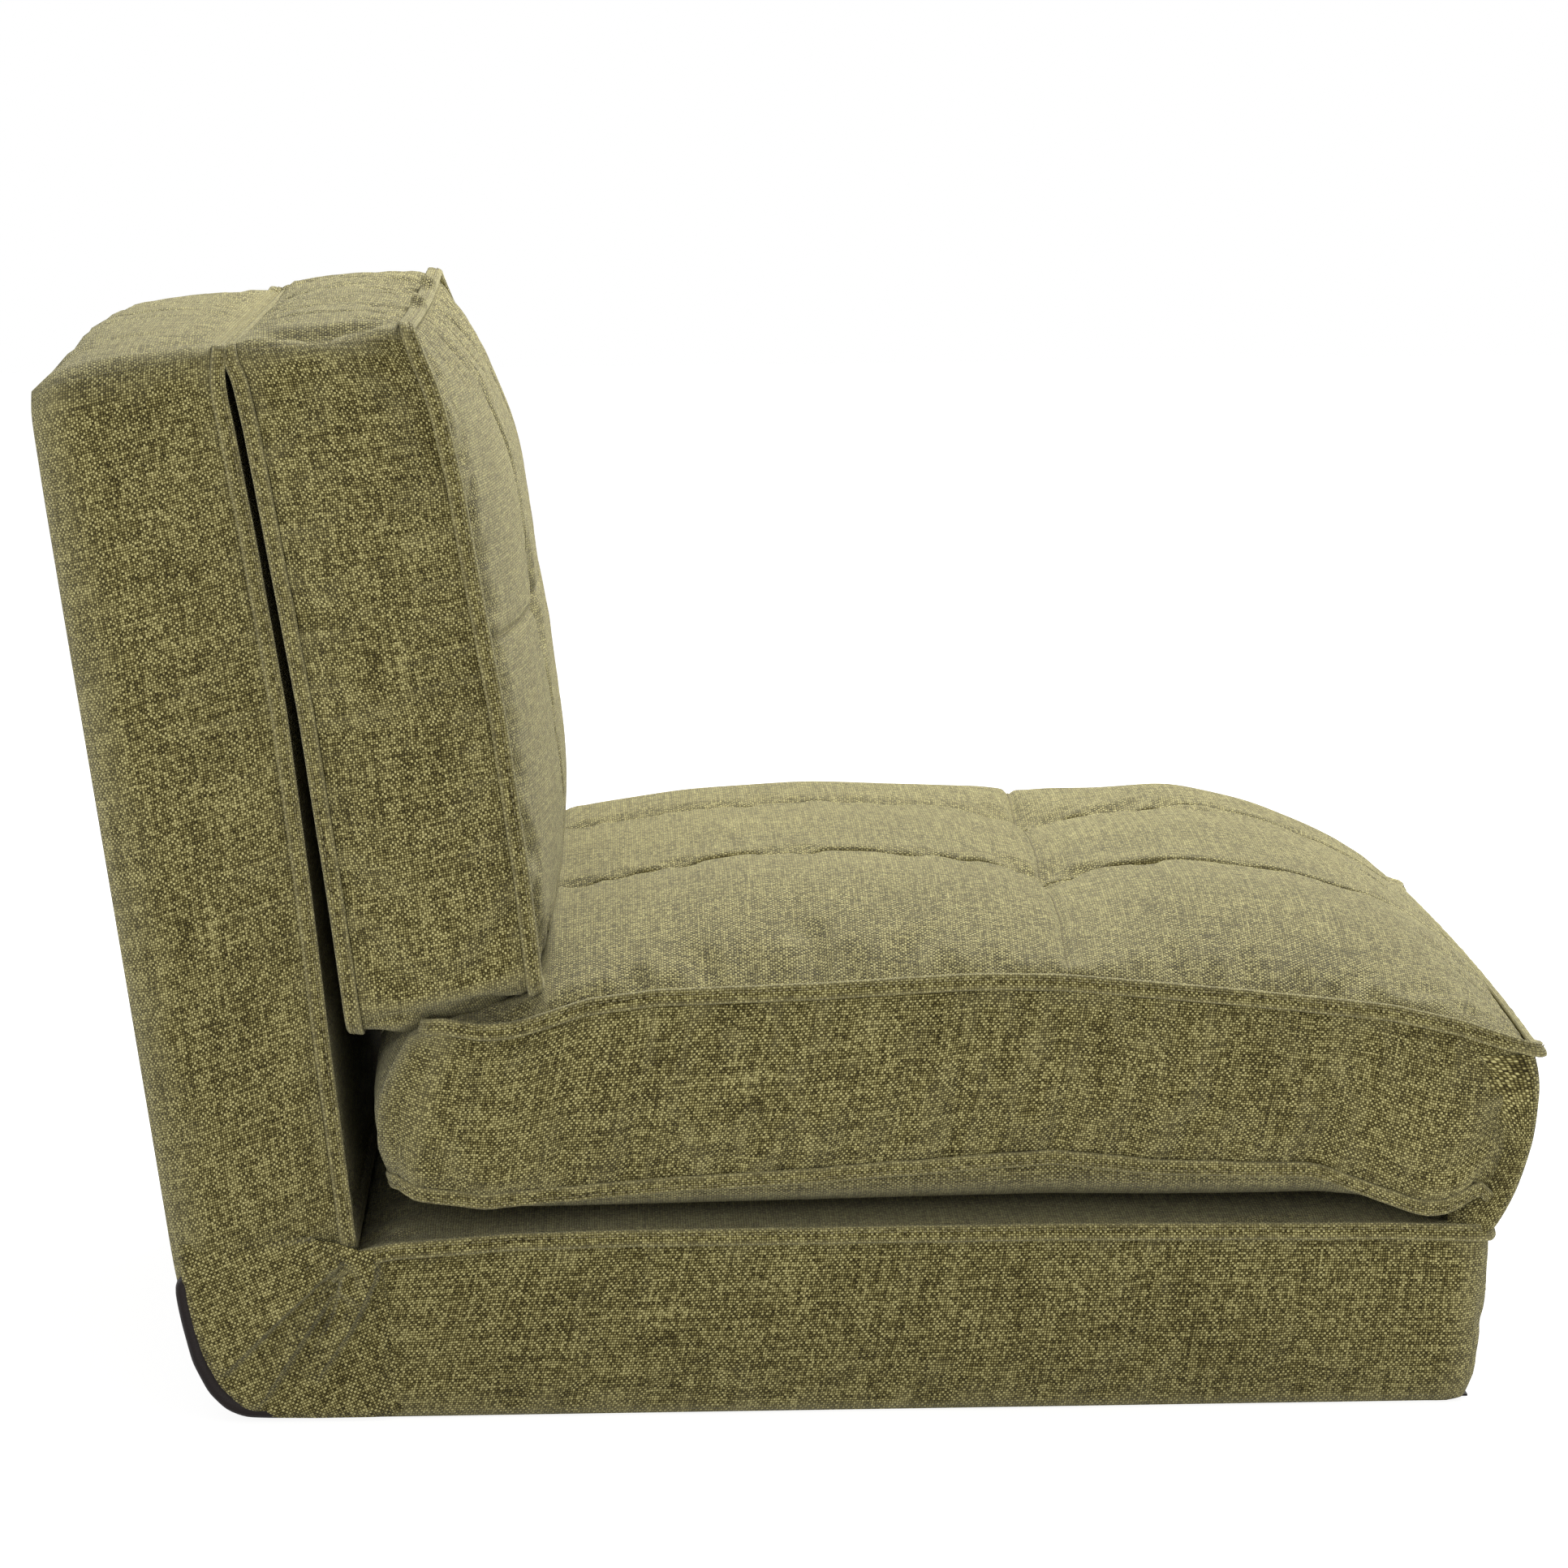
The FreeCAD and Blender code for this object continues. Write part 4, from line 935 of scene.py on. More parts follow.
HEAD = dict(
    FULL_SLAB, cells=HEAD_CELLS, gather=1.2, start_pull=5.0, finish_pull=2.0,
    gather_reach={END_BOXING: 45.0, FACE: 22.0},
    row_lines=(HEAD_ROW,), cell=(8.6, 8.86), line_depth=(1.7, 2.6), rays=1.4,
    dents=on_both_sides([(520, 180, (14, 20, 9), 5.0), (490, 188, (26, 20, 6), 3.0)]),
    high=[(HEAD_START, 196), (250, 199), (337, 201), (411, 200), (453, 200), (488, 198), (504, 196),
          (HEAD_FINISH, 189)],
    low=[(187, 102), (250, 104), (352, 106), (436, 105), (500, 104), (526, 102.5), (541, 100)],
    crown=head_crown,
    sag=lambda a, b, s, t: -1.0 * dome(s, 6) * dome(t, 6),
    sewn=lambda held, table: hold_tufts(held, table, HEAD_ROW), boxing=head_boxing, settle=settle_head)
head_grids = build_cover("head_cushion", HEAD, leaning, "head", ["head_cover"])

# %% [markdown]
# ## The seat cushion
# The seat cushion is the fullest. Two sewn lines run along it and one across, and their crossings pull it
# down. The weight of the head cushion presses its rear end flat, and its lower seam waves. One curve
# could serve for both sewn lines, but they stand at different heights where the crossings are, so each
# has a height profile of its own, and the puffs are carried from them down to the side seams.

# %% Sew the seat cushion
SEAT_CROSS = 141.0
SEAT_START, SEAT_FINISH = -191, 375
SEAT_CELLS = (62, 72, 10)
SEAT_ROW = round((SEAT_CROSS - SEAT_START) / (SEAT_FINISH - SEAT_START) * SEAT_CELLS[0])
SEAT_LENGTH = 570.0
PROFILE_STEP, PROFILE_REACH, PROFILE_TAIL, PROFILE_END = 2.0, 14.0, 20, 30
SEAT_UNDERSIDE, SEAT_LOWEST, SEAT_REARMOST = 98.5, 96.5, -227.0
SEAT_REAR, SEAT_FRONT, SEAT_SIDE = 20.0, 11.0, 7.0
REAR_CORNER, REAR_CORNER_REACH = 12.0, 24.0
NEAR_DIP, NEAR_DIP_REACH, FAR_LIFT, FAR_LIFT_REACH = 4.0, 40.0, 12.0, 36.0
FRONT_GAP, FRONT_BOW, FRONT_TOP = 1.5, 5.0, 168
FRONT_CLOTH = np.array([(352, 86), (357, 92), (362, 100), (367, 110), (371, 121), (375, 134), (377.5, 147),
                        (379, 160), (378.5, 170), (376, 180)], float)
UNDER_HEAD = np.array([(-240, 193), (-214, 195), (-139, 214), (-129, 236), (-122, 272), (-117, 400)], float)


def softened(points):
    """A height profile sampled in short steps with its corners rounded off."""
    places = np.arange(SEAT_START, SEAT_FINISH + 1, PROFILE_STEP)
    heights = along(points, places)
    window = np.exp(-(np.arange(-PROFILE_TAIL, PROFILE_TAIL + 1) * PROFILE_STEP / PROFILE_REACH) ** 2)
    padded = np.pad(heights, PROFILE_TAIL, mode="edge")
    smooth = np.convolve(padded, window / window.sum(), mode="valid")
    ends = np.clip(np.minimum(places - SEAT_START, SEAT_FINISH - places) / PROFILE_END, 0, 1)
    return np.stack([places, smooth * ends + heights * (1 - ends)], axis=-1)


NEAR_LINE = softened([
    (SEAT_START, 204), (-176, 226), (-150, 236), (-118, 242), (-31, 258), (35, 260), (100, 255), (128, 251),
    (SEAT_CROSS, 245), (156, 249), (210, 253), (268, 245), (320, 228), (352, 207), (SEAT_FINISH, 181)])
FAR_LINE = softened([
    (SEAT_START, 204), (-176, 226), (-150, 238), (-119, 247), (-50, 257), (19, 261), (90, 257), (126, 251),
    (SEAT_CROSS, 244), (158, 250), (228, 258), (276, 246), (321, 226), (352, 205), (SEAT_FINISH, 181)])


def seat_crown(a, b, s, t):
    """The puffs of the seat: the height profiles of its two sewn lines, carried down to its side seams."""
    share = np.clip(3 * t - 1, 0, 1)
    line = along(NEAR_LINE, a) * (1 - share) + along(FAR_LINE, a) * share - along(SEAT["high"], a)
    outside = np.clip(3 * np.minimum(t, 1 - t), 0, 1)
    rise = np.where(t < 0.5, 1 - (1 - outside) ** 2.5, 1 - (1 - outside) ** 3.0)
    full = np.clip(line / 40, 0, 1)
    between = np.where(t > TUFT_COLUMNS[1], 2.5, 3.0) * np.sin(np.pi * 3 * t) ** 2 * full
    near = np.clip(1.6 - 3.2 * t, 0, 1) * np.clip(t * 5, 0, 1)
    far = np.clip(3.2 * t - 2.2, 0, 1) * np.clip((1 - t) * 6, 0, 1)
    lift = FAR_LIFT * far * groove(a - SEAT_CROSS, FAR_LIFT_REACH)
    dip = NEAR_DIP * near * groove(a - SEAT_CROSS, NEAR_DIP_REACH)
    return line * rise + between + lift - dip


def seat_sag(a, b, s, t):
    """The underside lies flat on the base between its wavy seams."""
    return -np.maximum(0, along(SEAT["low"], a) - SEAT_UNDERSIDE) * dome(s, 8) * dome(t, 9) ** 0.6


def seat_boxing(fraction, h, end):
    """The seat's sides and ends swell, its rear end most."""
    if end == "start":
        return SEAT_REAR * swell(h)[None, :] * (0.65 + 0.35 * dome(fraction, 4))[:, None]
    if end == "finish":
        return SEAT_FRONT * swell(h, 0.8)[None, :] * dome(fraction, 14)[:, None]
    body = SEAT_SIDE * dome(fraction, 8) + REAR_CORNER * groove(fraction * SEAT_LENGTH, REAR_CORNER_REACH)
    return swell(h)[None, :] * body[:, None]


def settle_seat(points):
    """Presses the seat's rear under the head cushion and keeps its underside on the base."""
    points = points.copy()
    limit = np.interp(points[:, 0], *UNDER_HEAD.T)
    points[:, 2] = np.minimum(points[:, 2], limit)
    points[:, 2] = np.maximum(points[:, 2], SEAT_LOWEST)
    points[:, 0] = np.maximum(points[:, 0], SEAT_REARMOST)
    front = np.interp(points[:, 2], FRONT_CLOTH[:, 1], FRONT_CLOTH[:, 0]) - FRONT_GAP
    bowed = FRONT_BOW * (1 - (points[:, 1] / HALF) ** 2)
    below = points[:, 2] < FRONT_TOP
    points[:, 0] = np.where(below, np.minimum(points[:, 0], front + bowed), points[:, 0])
    return points


SEAT = dict(
    FULL_SLAB, cells=SEAT_CELLS, low_in=1.0, gather=1.3, start_pull=3.0, finish_pull=-4.0,
    gather_reach={FACE: 20.0, NEAR_BOXING: 16.0},
    row_lines=(SEAT_ROW,), cell=(9.1, 8.86), line_depth=(2.4, 4.2), rays=2.2,
    dents=on_both_sides([
        (347, 180, (7, 20, 8), 4.5), (357, 168, (6, 20, 10), 5.0), (366, 150, (5, 20, 14), 5.0),
        (317, 121, (4, 20, 12), 3.0), (296, 130, (5, 20, 10), 1.6), (-196, 186, (6, 20, 10), 3.0),
        (-190, 140, (5, 20, 16), 2.0), (-140, 196, (8, 20, 9), 2.0)]),
    high=[(SEAT_START, 204), (-161, 199), (-143, 201), (-107, 212), (-71, 216), (6, 218), (89, 222),
          (133, 221), (185, 216), (243, 210), (301, 203), (340, 194), (365, 185), (SEAT_FINISH, 181)],
    low=[(-208, 122), (-198, 117), (-162, 112), (-126, 115), (-72, 119), (5, 123), (80, 128), (129, 131),
         (180, 125), (263, 122), (297, 109), (318, 101), (330, 102), (341, 107), (349, 111.5), (355, 107),
         (357.5, 101)],
    crown=seat_crown, sag=seat_sag,
    sewn=lambda held, table: hold_tufts(held, table, SEAT_ROW), boxing=seat_boxing, settle=settle_seat)
seat_grids = build_cover("seat_cushion", SEAT, level, "seat", ["seat_cover"])

# %% [markdown]
# ## The welts
# Round each seam the two cloths are turned together into a flat flange about eight millimetres wide and
# held with a line of topstitch. Its free edge lies over the boxing and throws a thin dark line there. A
# curve with a bevel could follow the seam, but it would be even all the way round. The flange is one
# profile carried round the seam by a loop, because small puckers and a few standing ears can then move it
# point by point.

# %% Carry a flange round a seam
WELT_PROFILE = [(-0.8, 3.6), (0.8, 4.4), (2.3, 3.9), (3.1, 2.6), (2.9, 1.5), (3.4, 0.6), (4.1, -1.2),
                (4.5, -3.0), (4.1, -4.1), (3.1, -4.0), (2.4, -2.6), (1.4, -0.8), (0.2, 0.4), (-0.8, 1.6)]
STITCH_POINT = (3.35, 1.5)
PUCKER_RATE, LIFT_RATE, LIFT_SEED = 0.75, 0.4, 20.0
FLANGE_WIDTH, LIFT_SHARE, STAND_SHARE = 5.0, 0.5, 0.35
SUNK_DEPTH, SUNK_REACH, SUNK_FADE = 6.0, 5.0, 12


def seam_loop(grid):
    """The closed edge of a panel, near side first, and its outward direction in the panel's plane."""
    loop = np.concatenate([grid[:-1, 0], grid[-1, :-1], grid[:0:-1, -1], grid[0, :0:-1]])
    tangent = np.roll(loop, -2, axis=0) - np.roll(loop, 2, axis=0)
    outward = np.stack([tangent[:, 1], -tangent[:, 0], np.zeros(len(loop))], axis=-1)
    outward /= np.linalg.norm(outward, axis=1)[:, None]
    if np.sum(outward[:, :2] * (loop[:, :2] - loop[:, :2].mean(axis=0))) < 0:
        outward = -outward
    return loop, outward


def bumps(loop, places):
    """Sums of round bumps along a loop; each is (length, width place, height, reach)."""
    total = np.zeros(len(loop))
    for a, b, tall, reach in places:
        total += tall * groove(np.linalg.norm(loop[:, :2] - np.array([a, b]), axis=1), reach)
    return total


def flange_faces(count, around):
    """The faces of a profile carried round a closed loop, as indices of its points."""
    return [(i * around + k, j * around + k, j * around + m, i * around + m)
            for i, j in ((i, (i + 1) % count) for i in range(count))
            for k, m in ((k, (k + 1) % around) for k in range(around))]


def flange_uvs(travel, total):
    """The weave map of a flange in millimetres, a row for each corner of its faces."""
    following = WELT_PROFILE[1:] + WELT_PROFILE[:1]
    steps = [math.dist(first, second) for first, second in zip(WELT_PROFILE, following)]
    across = np.concatenate([[0], np.cumsum(steps)])
    uvs = []
    for u0, u1 in zip(travel, list(travel[1:]) + [total]):
        for v0, v1 in zip(across[:-1], across[1:]):
            uvs += [(u0, v0), (u1, v0), (u1, v1), (u0, v1)]
    return np.array(uvs)


def carry_welt(name, grid, upwards, place, body, nodes, seed, ears=(), wave=0.7, shifted=(), shift=0.0,
               sunk_end=None):
    """Makes one flange round a panel's edge and returns the line that its topstitch follows."""
    loop, outward = seam_loop(grid)
    step = np.linalg.norm(np.roll(loop, -1, axis=0) - loop, axis=1)
    travel = np.concatenate([[0], np.cumsum(step)[:-1]])
    pucker = gather_row(travel * PUCKER_RATE, seed)
    lift = gather_row(travel * LIFT_RATE, seed + LIFT_SEED)
    stand = bumps(loop, ears)
    aside = shift + bumps(loop, shifted)
    inset = np.zeros(len(loop))
    if sunk_end is not None:
        beside = np.clip((HALF - 4 - np.abs(loop[:, 1])) / SUNK_FADE, 0, 1)
        inset = SUNK_DEPTH * groove(loop[:, 0] - sunk_end, SUNK_REACH) * beside

    def profile_line(out, rise):
        """One point of the profile carried round the seam."""
        far = np.clip((out + 1) / FLANGE_WIDTH, 0, 1)
        push = out + far * (wave * pucker + stand) - inset
        height = (rise + far * (LIFT_SHARE * wave * lift + STAND_SHARE * stand)) * upwards
        height = height + aside * (0.3 + 0.7 * far)
        return loop + outward * push[:, None] + np.array([0, 0, 1.0]) * height[:, None]

    ring = np.stack([profile_line(out, rise) for out, rise in WELT_PROFILE], axis=1)
    total = travel[-1] + step[-1]
    mesh = mesh_with_weave(name, place(ring), flange_faces(*ring.shape[:2]), flange_uvs(travel, total) * MM,
                           for_corners=True)
    finish_mesh(mesh, FLANGE_WELD)
    piece = add_piece(name, mesh, OLIVE)
    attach(piece, body)
    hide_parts(*nodes)
    print(name, len(mesh.polygons), "faces, %.2f m round" % (total * MM))
    return place(profile_line(*STITCH_POINT))


TOP_CREASE = 541.0
base_stitch_line = carry_welt("base_welt", base_grids[0], 1.0, level, "base", ["base_top_welt"], 1.0)
back_stitch_line = carry_welt(
    "back_welt", back_grids[0], 1.0, leaning, "back", ["back_front_welt"], 2.0, shift=0.6,
    sunk_end=TOP_CREASE, shifted=[(TOP_CREASE, way * HALF, 3.2, 16.0) for way in (-1, 1)])
head_stitch_line = carry_welt(
    "head_front_flange", head_grids[0], 1.0, leaning, "head", ["head_front_welt"], 3.0,
    ears=[(HEAD_FINISH, -HALF, 6.0, 9.0), (HEAD_FINISH, HALF, 5.0, 9.0)]
    + [(HEAD_FINISH, way * HALF / 3, 7.5, 8.0) for way in (-1, 1)])
head_rear_stitch_line = carry_welt(
    "head_rear_flange", head_grids[1], -1.0, leaning, "head", ["head_rear_welt"], 4.0, sunk_end=TOP_CREASE,
    shifted=[(TOP_CREASE, way * HALF, -3.0, 13.0) for way in (-1, 1)])
seat_stitch_line = carry_welt(
    "seat_top_flange", seat_grids[0], 1.0, level, "seat", ["seat_top_welt"], 5.0,
    ears=[(SEAT_FINISH, way * HALF, 8.0, 11.0) for way in (-1, 1)])
seat_low_stitch_line = carry_welt(
    "seat_bottom_flange", seat_grids[1], -1.0, level, "seat", ["seat_bottom_welt"], 6.0, wave=1.4)

# %% [markdown]
# ## Topstitching
# Thousands of equal stitches follow the welts and the sewn lines of the tufts. A loop could place them
# one by one. Geometry Nodes is quicker and keeps their sizes as named inputs: each line is resampled at
# the stitch pitch and a small spindle of thread is put on every point, turned along the line.

# %% A node tree that sews along a line
STITCH_SIZES = {"Pitch": 3.4 * MM, "Stitch Length": 2.7 * MM, "Thread Radius": 0.38 * MM}
STITCH_FACES = 20


def stitch_tree():
    """A line of edges to a row of stitches, with inputs for pitch, length and thickness."""
    tree = bpy.data.node_groups.new("sew_along_line", "GeometryNodeTree")
    sides = tree.interface
    sides.new_socket("Line", in_out="INPUT", socket_type="NodeSocketGeometry")
    for label, value in STITCH_SIZES.items():
        socket = sides.new_socket(label, in_out="INPUT", socket_type="NodeSocketFloat")
        socket.default_value = value
    sides.new_socket("Thread", in_out="INPUT", socket_type="NodeSocketMaterial")
    sides.new_socket("Stitches", in_out="OUTPUT", socket_type="NodeSocketGeometry")
    add = node_maker(tree)
    taken = add("NodeGroupInput")
    curve = add("GeometryNodeMeshToCurve", {0: taken.outputs["Line"]})
    spaced = add("GeometryNodeResampleCurve", {"Curve": curve.outputs[0], "Length": taken.outputs["Pitch"]},
                 mode="LENGTH")
    heading = add("GeometryNodeInputTangent")
    turned = add("FunctionNodeAlignRotationToVector", {"Vector": heading.outputs[0]}, axis="Z")
    spindle = add("GeometryNodeMeshIcoSphere", {"Radius": 1.0, "Subdivisions": 1})
    half = add("ShaderNodeMath", {0: taken.outputs["Stitch Length"], 1: 0.5}, operation="MULTIPLY")
    size = add("ShaderNodeCombineXYZ", {0: taken.outputs["Thread Radius"], 1: taken.outputs["Thread Radius"],
                                        2: half.outputs[0]})
    sewn = add("GeometryNodeInstanceOnPoints", {"Points": spaced.outputs[0], "Instance": spindle.outputs[0],
                                                "Rotation": turned.outputs[0], "Scale": size.outputs[0]})
    real = add("GeometryNodeRealizeInstances", {0: sewn.outputs[0]})
    painted = add("GeometryNodeSetMaterial", {"Geometry": real.outputs[0],
                                              "Material": taken.outputs["Thread"]})
    add("NodeGroupOutput", {0: painted.outputs[0]})
    return tree


SEWING = stitch_tree()


def sew(name, lines, body):
    """Sews stitches along lines of points; each line is (points in metres, closed or not)."""
    coordinates, edges = [], []
    for points, closed in lines:
        start = len(coordinates)
        coordinates += [tuple(p) for p in points]
        edges += [(start + k, start + k + 1) for k in range(len(points) - 1)]
        if closed:
            edges.append((start + len(points) - 1, start))
    mesh = bpy.data.meshes.new(name + "_line")
    mesh.from_pydata(coordinates, edges, [])
    piece = bpy.data.objects.new(name, mesh)
    scene.collection.objects.link(piece)
    modifier = piece.modifiers.new("sewing", "NODES")
    modifier.node_group = SEWING
    values = dict(STITCH_SIZES, Thread=THREAD)
    for item in SEWING.interface.items_tree:
        if item.in_out == "INPUT" and item.name in values:
            modifier[item.identifier] = values[item.name]
    graph = bpy.context.evaluated_depsgraph_get()
    baked = bpy.data.meshes.new_from_object(piece.evaluated_get(graph), depsgraph=graph)
    piece.modifiers.clear()
    baked.name = name
    piece.data = baked
    for face in baked.polygons:
        face.use_smooth = True
    if not baked.materials:
        baked.materials.append(THREAD)
    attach(piece, body)
    print(name, len(baked.polygons) // STITCH_FACES, "stitches")


def face_line(grid, place, row=None, column=None, raised=0.25):
    """The points of one sewn line of a panel, just proud of the cloth."""
    normal = grid_normals(grid)
    normal *= np.sign(normal[:, :, 2].sum()) or 1.0
    lifted = grid + normal * raised
    points = lifted[row, 1:-1] if row is not None else lifted[1:-1, column]
    return place(points), False


def sewn_lines(grids, place, shape):
    """The stitched lines across and along a tufted face."""
    rows, columns = shape["fine"]
    return ([face_line(grids[0], place, row=nearest(rows, line)) for line in shape["row_lines"]]
            + [face_line(grids[0], place, column=nearest(columns, line)) for line in shape["column_lines"]])


def end_seams(grids, place):
    """The plain seams at the two sides of a slab's top end, between its side and its end boxing."""
    return [face_line(grids[side], place, row=-1, raised=0.5) for side in (NEAR_BOXING, FAR_BOXING)]


sew("base_topstitch", [(base_stitch_line, True)], "base")
sew("back_topstitch", [(back_stitch_line, True)] + end_seams(back_grids, leaning), "back")
sew("head_topstitch", [(head_stitch_line, True), (head_rear_stitch_line, True)]
    + sewn_lines(head_grids, leaning, HEAD) + end_seams(head_grids, leaning), "head")
sew("seat_topstitch", [(seat_stitch_line, True), (seat_low_stitch_line, True)]
    + sewn_lines(seat_grids, level, SEAT), "seat")

# %% [markdown]
# ## The cloth hinges
# A strip of cloth joins the seat's front to the base's, another joins the back's top to the head's, and a
# third closes the inner crease between base and back. They could be thin boxes, but cloth is a single
# sheet that bends. So each is a line drawn from slab to slab and carried across the width.

# %% Strips of cloth between the slabs
def smooth_path(points, count):
    """Points spaced along a smooth line through the given ones."""
    points = np.asarray(points, float)
    spread = np.concatenate([[0], np.cumsum(np.linalg.norm(np.diff(points, axis=0), axis=1))])
    fine = np.linspace(0, spread[-1], 8 * count)
    rough = np.stack([np.interp(fine, spread, points[:, k]) for k in range(points.shape[1])], axis=-1)
    for _ in range(3 * count):
        rough[1:-1] = (rough[:-2] + 2 * rough[1:-1] + rough[2:]) / 4
    return rough[np.linspace(0, len(rough) - 1, count).round().astype(int)]


def swept(line, across):
    """A grid of cloth: a line of the slab's length and thickness carried across its width."""
    return np.stack([np.stack([np.full(len(across), first), across, np.full(len(across), second)], axis=-1)
                     for first, second in line])


def with_rims(middle, rim):
    """Places across a strip: its plain middle between a rim and the same rim mirrored."""
    return np.concatenate([-rim, middle, rim[::-1]])


def rims_only(middle, rim):
    """A value at each place across a strip: nothing in the middle, and the rim's values at both sides."""
    return np.concatenate([rim, np.zeros(len(middle)), rim[::-1]])


def cloth_from_grid(name, grid, material, pattern=None):
    """A sheet of cloth from a grid of points in metres; returns it with its flat size and its area."""
    rows, columns = grid.shape[:2]
    u, v = lengths_along(grid, 0), lengths_along(grid, 1)
    if pattern is None:
        pattern = np.stack(np.meshgrid(u, v, indexing="ij"), axis=-1)
    faces = grid_faces(np.arange(rows * columns).reshape(rows, columns))
    mesh = mesh_with_weave(name, grid.reshape(-1, 3), faces, pattern.reshape(-1, 2))
    for face in mesh.polygons:
        face.use_smooth = True
    piece = add_piece(name, mesh, material)
    area = sum(face.area for face in mesh.polygons)
    print(name, len(mesh.polygons), "faces, %.3f by %.3f m, %.4f m2" % (u[-1], v[-1], area))
    return piece, (float(u[-1]), float(v[-1])), area


gusset_middle = np.linspace(-314, 314, 157)
across = with_rims(gusset_middle, np.array([306.0, 313.0, 318.0, 320.5, 321.6, 320.8, 318.5]))
tucked = rims_only(gusset_middle, np.array([42.0, 32.0, 22.0, 13.0, 7.5, 3.2, 0.8]))
gusset_line = smooth_path(FRONT_CLOTH, 26)
gusset = swept(gusset_line, across)
for k, (x, z) in enumerate(gusset_line):
    share = k / (len(gusset_line) - 1)
    ripple = gather_row(across * 0.5, 31.0) * 1.5 * math.sin(math.pi * share)
    bow = FRONT_BOW * (1 - np.clip(np.abs(across) / HALF, 0, 1) ** 2) * share
    band = np.interp(z, [86, 100, 120, 136, 150, 168, 180], [0.5, 0.7, 0.55, 0.5, 0.9, 1.6, 2.2])
    gusset[k, :, 0] += ripple + bow - np.minimum(tucked * band, 30.0)
front_gusset_cloth, size, area = cloth_from_grid("front_gusset_cloth", gusset * MM, OLIVE)
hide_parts("front_gusset")
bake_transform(front_gusset_cloth)

crease_line = smooth_path([(535, 86), (540, 91), (540.5, 94.5), (537.5, 96.5), (540.5, 98.5), (540, 102),
                           (535, 106)], 14)
crease = swept(crease_line, np.linspace(-316, 316, 159))
crease_cloth, size, area = cloth_from_grid("crease_cloth", leaning(crease).reshape(crease.shape), OLIVE)
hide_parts("crease_strip")
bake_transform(crease_cloth)

inner_line = smooth_path([(-240, 79), (-233, 83), (-228.5, 87.5), (-227.5, 92), (-230, 97), (-236, 101)], 14)
inner = swept(inner_line, np.linspace(-320.5, 320.5, 161))
inner_crease_cloth, size, area = cloth_from_grid("inner_crease_cloth", inner * MM, OLIVE)
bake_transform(inner_crease_cloth)

# %% [markdown]
# ## The gathered rear corner
# The side cloth of the base and of the back meets at the rear lower corner. It is drawn together at the
# inner corner and spreads from there in a few folds towards the outer corner. A cloth step could crumple
# it, but the folds would fall anywhere. So a fan of cloth on each side carries the folds, and each fold
# is a short line with a height and a width.

# %% The fans of folds
FAN_POINTS, FAN_ROWS, PLEAT_POINTS = 220, 100, 60
FAN_DEPTH, PATTERN_TURN = 324.6, math.radians(-24.0)
CLIFF, DIP, DIP_DEPTH, PLEAT_END = 2.8, 4.5, 9.0, 5.0
OUTLINE = [(-319, 92), (-317, 75), (-315, 62), (-312, 48), (-307, 33), (-299, 18), (-287, 6), (-270, 1.6),
           (-250, 1.2), (-225, 1.2), (-205, 1.2)]
INNER = [(-251, 95), (-245, 93.5), (-240, 92.5), (-236, 91.5), (-232, 90), (-229, 89), (-226, 88),
         (-222, 88), (-216, 88)]
PLEATS = [([(-238.8, 80.2), (-266.3, 55.6), (-296.1, 26.6)], 8.5, 13.0, 1),
          ([(-241.6, 66.0), (-256.4, 44.1), (-279.2, 9.1)], 8.0, 10.0, 1),
          ([(-234.0, 73.0), (-238.0, 56.0), (-246.5, 40.0)], 7.0, 7.0, -1),
          ([(-218.5, 75.0), (-231.8, 48.9), (-248.3, 25.1)], 7.0, 10.0, 1)]


def pleat_relief(x, z):
    """How far each point of the side stands proud: pleats rise slowly, then drop into a narrow fold."""
    proud, sunk = np.zeros_like(x), np.zeros_like(x)
    for points, tall, wide, side in PLEATS:
        path = smooth_path(points, PLEAT_POINTS)
        heading = np.gradient(path, axis=0)
        heading /= np.linalg.norm(heading, axis=1)[:, None]
        gap = np.stack([x[..., None] - path[:, 0], z[..., None] - path[:, 1]], axis=-1)
        distance = np.linalg.norm(gap, axis=-1)
        near = distance.argmin(axis=-1)
        closest = np.take_along_axis(distance, near[..., None], -1)[..., 0]
        offset = np.take_along_axis(gap, near[..., None, None], -2)[..., 0, :]
        away = side * (-heading[near, 1] * offset[..., 0] + heading[near, 0] * offset[..., 1])
        beyond = np.sqrt(np.maximum(closest ** 2 - away ** 2, 0))
        share = near / (PLEAT_POINTS - 1)
        strength = groove(beyond, PLEAT_END) * np.clip(1.25 - share, 0, 1) ** 0.7
        ridge = np.where(away < 0, np.exp(np.clip(away, -60, 0) / wide), groove(away, CLIFF))
        dip = np.where(away > 0, away / DIP * np.exp(1 - np.clip(away, 0, 60) / DIP), 0.0)
        proud = np.maximum(proud, tall * ridge * strength)
        sunk = np.maximum(sunk, DIP_DEPTH * dip * strength)
    hole = np.exp(-((x + 243) / 7.0) ** 2 - ((z - 70) / 2.6) ** 2)
    return proud - sunk - 4.0 * hole


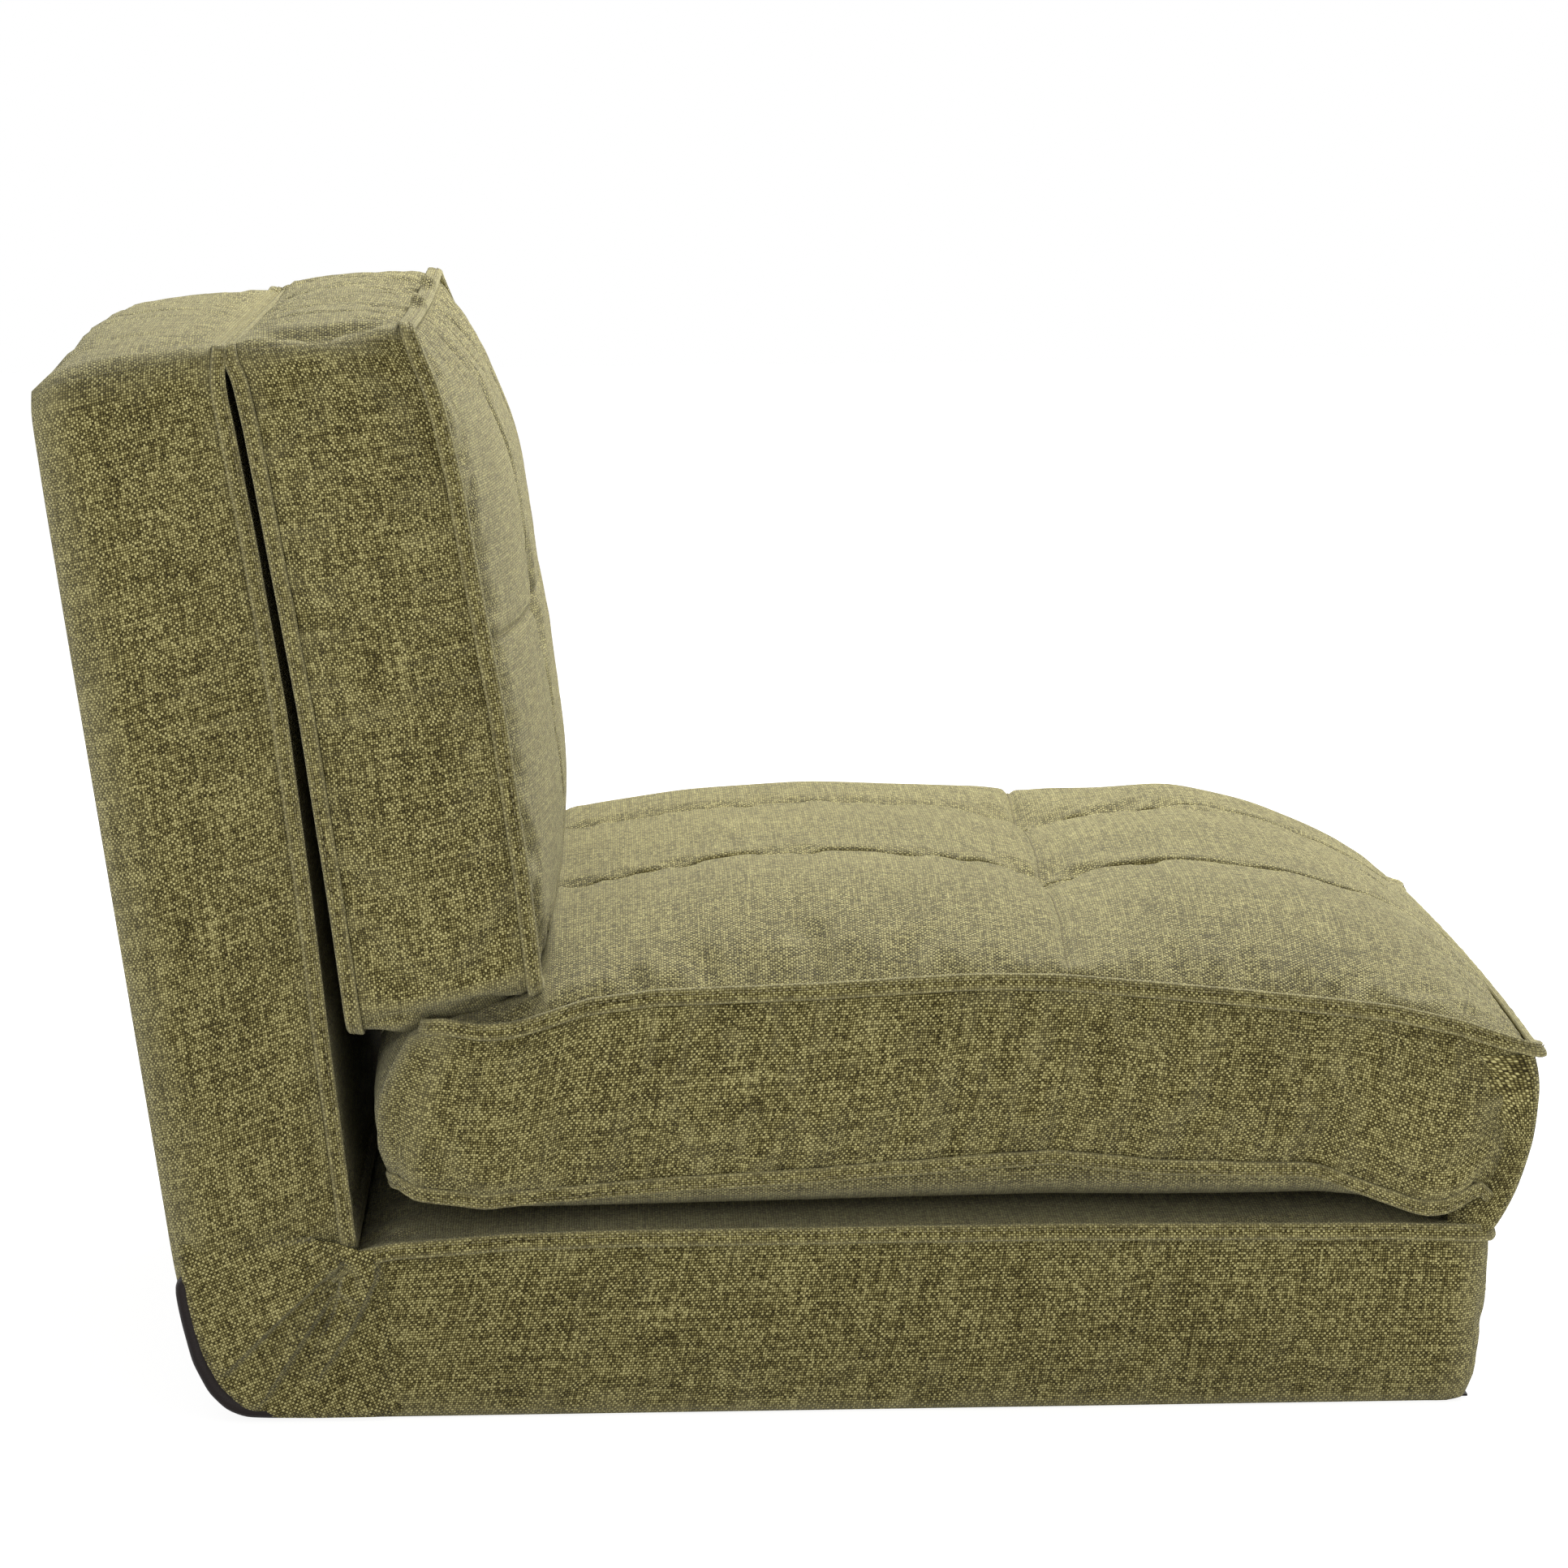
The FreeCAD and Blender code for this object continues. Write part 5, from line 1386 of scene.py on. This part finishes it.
def corner_fan(side):
    """One fan of folds and its flat pattern: side is -1 for the near one and 1 for the far one."""
    inner, outer = smooth_path(INNER, FAN_POINTS), smooth_path(OUTLINE, FAN_POINTS)
    q, v = np.linspace(0, 1, FAN_POINTS), np.linspace(0, 1, FAN_ROWS)
    flat = inner[:, None, :] * (1 - v)[None, :, None] + outer[:, None, :] * v[None, :, None]
    edge = np.minimum(q, 1 - q)
    tuck = 5.0 * groove(edge, 0.05)
    rim = 3.5 * np.clip((v - 0.93) / 0.07, 0, 1) ** 2.0
    inside = np.clip(edge / 0.08, 0, 1)[:, None] * np.clip((1.0 - v) / 0.10, 0, 1)[None, :]
    depth = FAN_DEPTH + pleat_relief(flat[:, :, 0], flat[:, :, 1]) * inside
    depth = depth - tuck[:, None] - rim[None, :] - 2.0 * groove(v, 0.06)[None, :]
    grid = np.stack([flat[:, :, 0], side * depth, flat[:, :, 1]], axis=-1) * MM
    cosine, sine = math.cos(PATTERN_TURN), math.sin(PATTERN_TURN)
    pattern = np.stack([grid[:, :, 0] * cosine - grid[:, :, 2] * sine,
                        grid[:, :, 0] * sine + grid[:, :, 2] * cosine], axis=-1)
    return grid, pattern


for side, label in ((-1, "near"), (1, "far")):
    fan_grid, pattern = corner_fan(side)
    fan, size, area = cloth_from_grid("corner_folds_" + label, fan_grid, OLIVE, pattern)
    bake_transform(fan)

# %% [markdown]
# ## The coated patch
# A dark patch of coated cloth is sewn round the outer corner, where the bed rubs on the floor when it is
# opened, and on the real bed it bends with the hinge. It could be a second colour on the two covers. It is
# a sheet of its own instead, because its edges stand a little proud: the corner's outline is carried
# across the width, and a rim is turned in at each side.

# %% The coated patch round the outer corner
PATCH_LOW = 0.3
PATCH_LINE = smooth_path([(-250, PATCH_LOW), (-272, 0.4), (-286, 1.0), (-296, 5), (-305, 14), (-313, 30),
                          (-318, 50), (-320, 60), (-321.3, 69), (-320.5, 73), (-316, 75)], 44)
patch_middle = np.linspace(-300, 300, 61)
rim_across = with_rims(patch_middle, np.array([319.0, 321.6, 322.4, 321.8, 319.8, 316.0, 310.0]))
rim_in = rims_only(patch_middle, np.array([11.0, 8.0, 5.0, 2.4, 0.9, 0.2, 0.0]))
direction = np.gradient(PATCH_LINE, axis=0)
inward = np.stack([-direction[:, 1], direction[:, 0]], axis=-1) / np.linalg.norm(direction, axis=1)[:, None]
inward *= np.sign(inward[len(inward) // 2, 0])
patch = swept(PATCH_LINE, rim_across)
patch[:, :, 0] += inward[:, :1] * rim_in
patch[:, :, 2] = np.maximum(patch[:, :, 2] + inward[:, 1:] * rim_in, PATCH_LOW)
corner_patch, size, area = cloth_from_grid("corner_patch", patch * MM, LEATHER)
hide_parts("corner_wrap")
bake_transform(corner_patch)
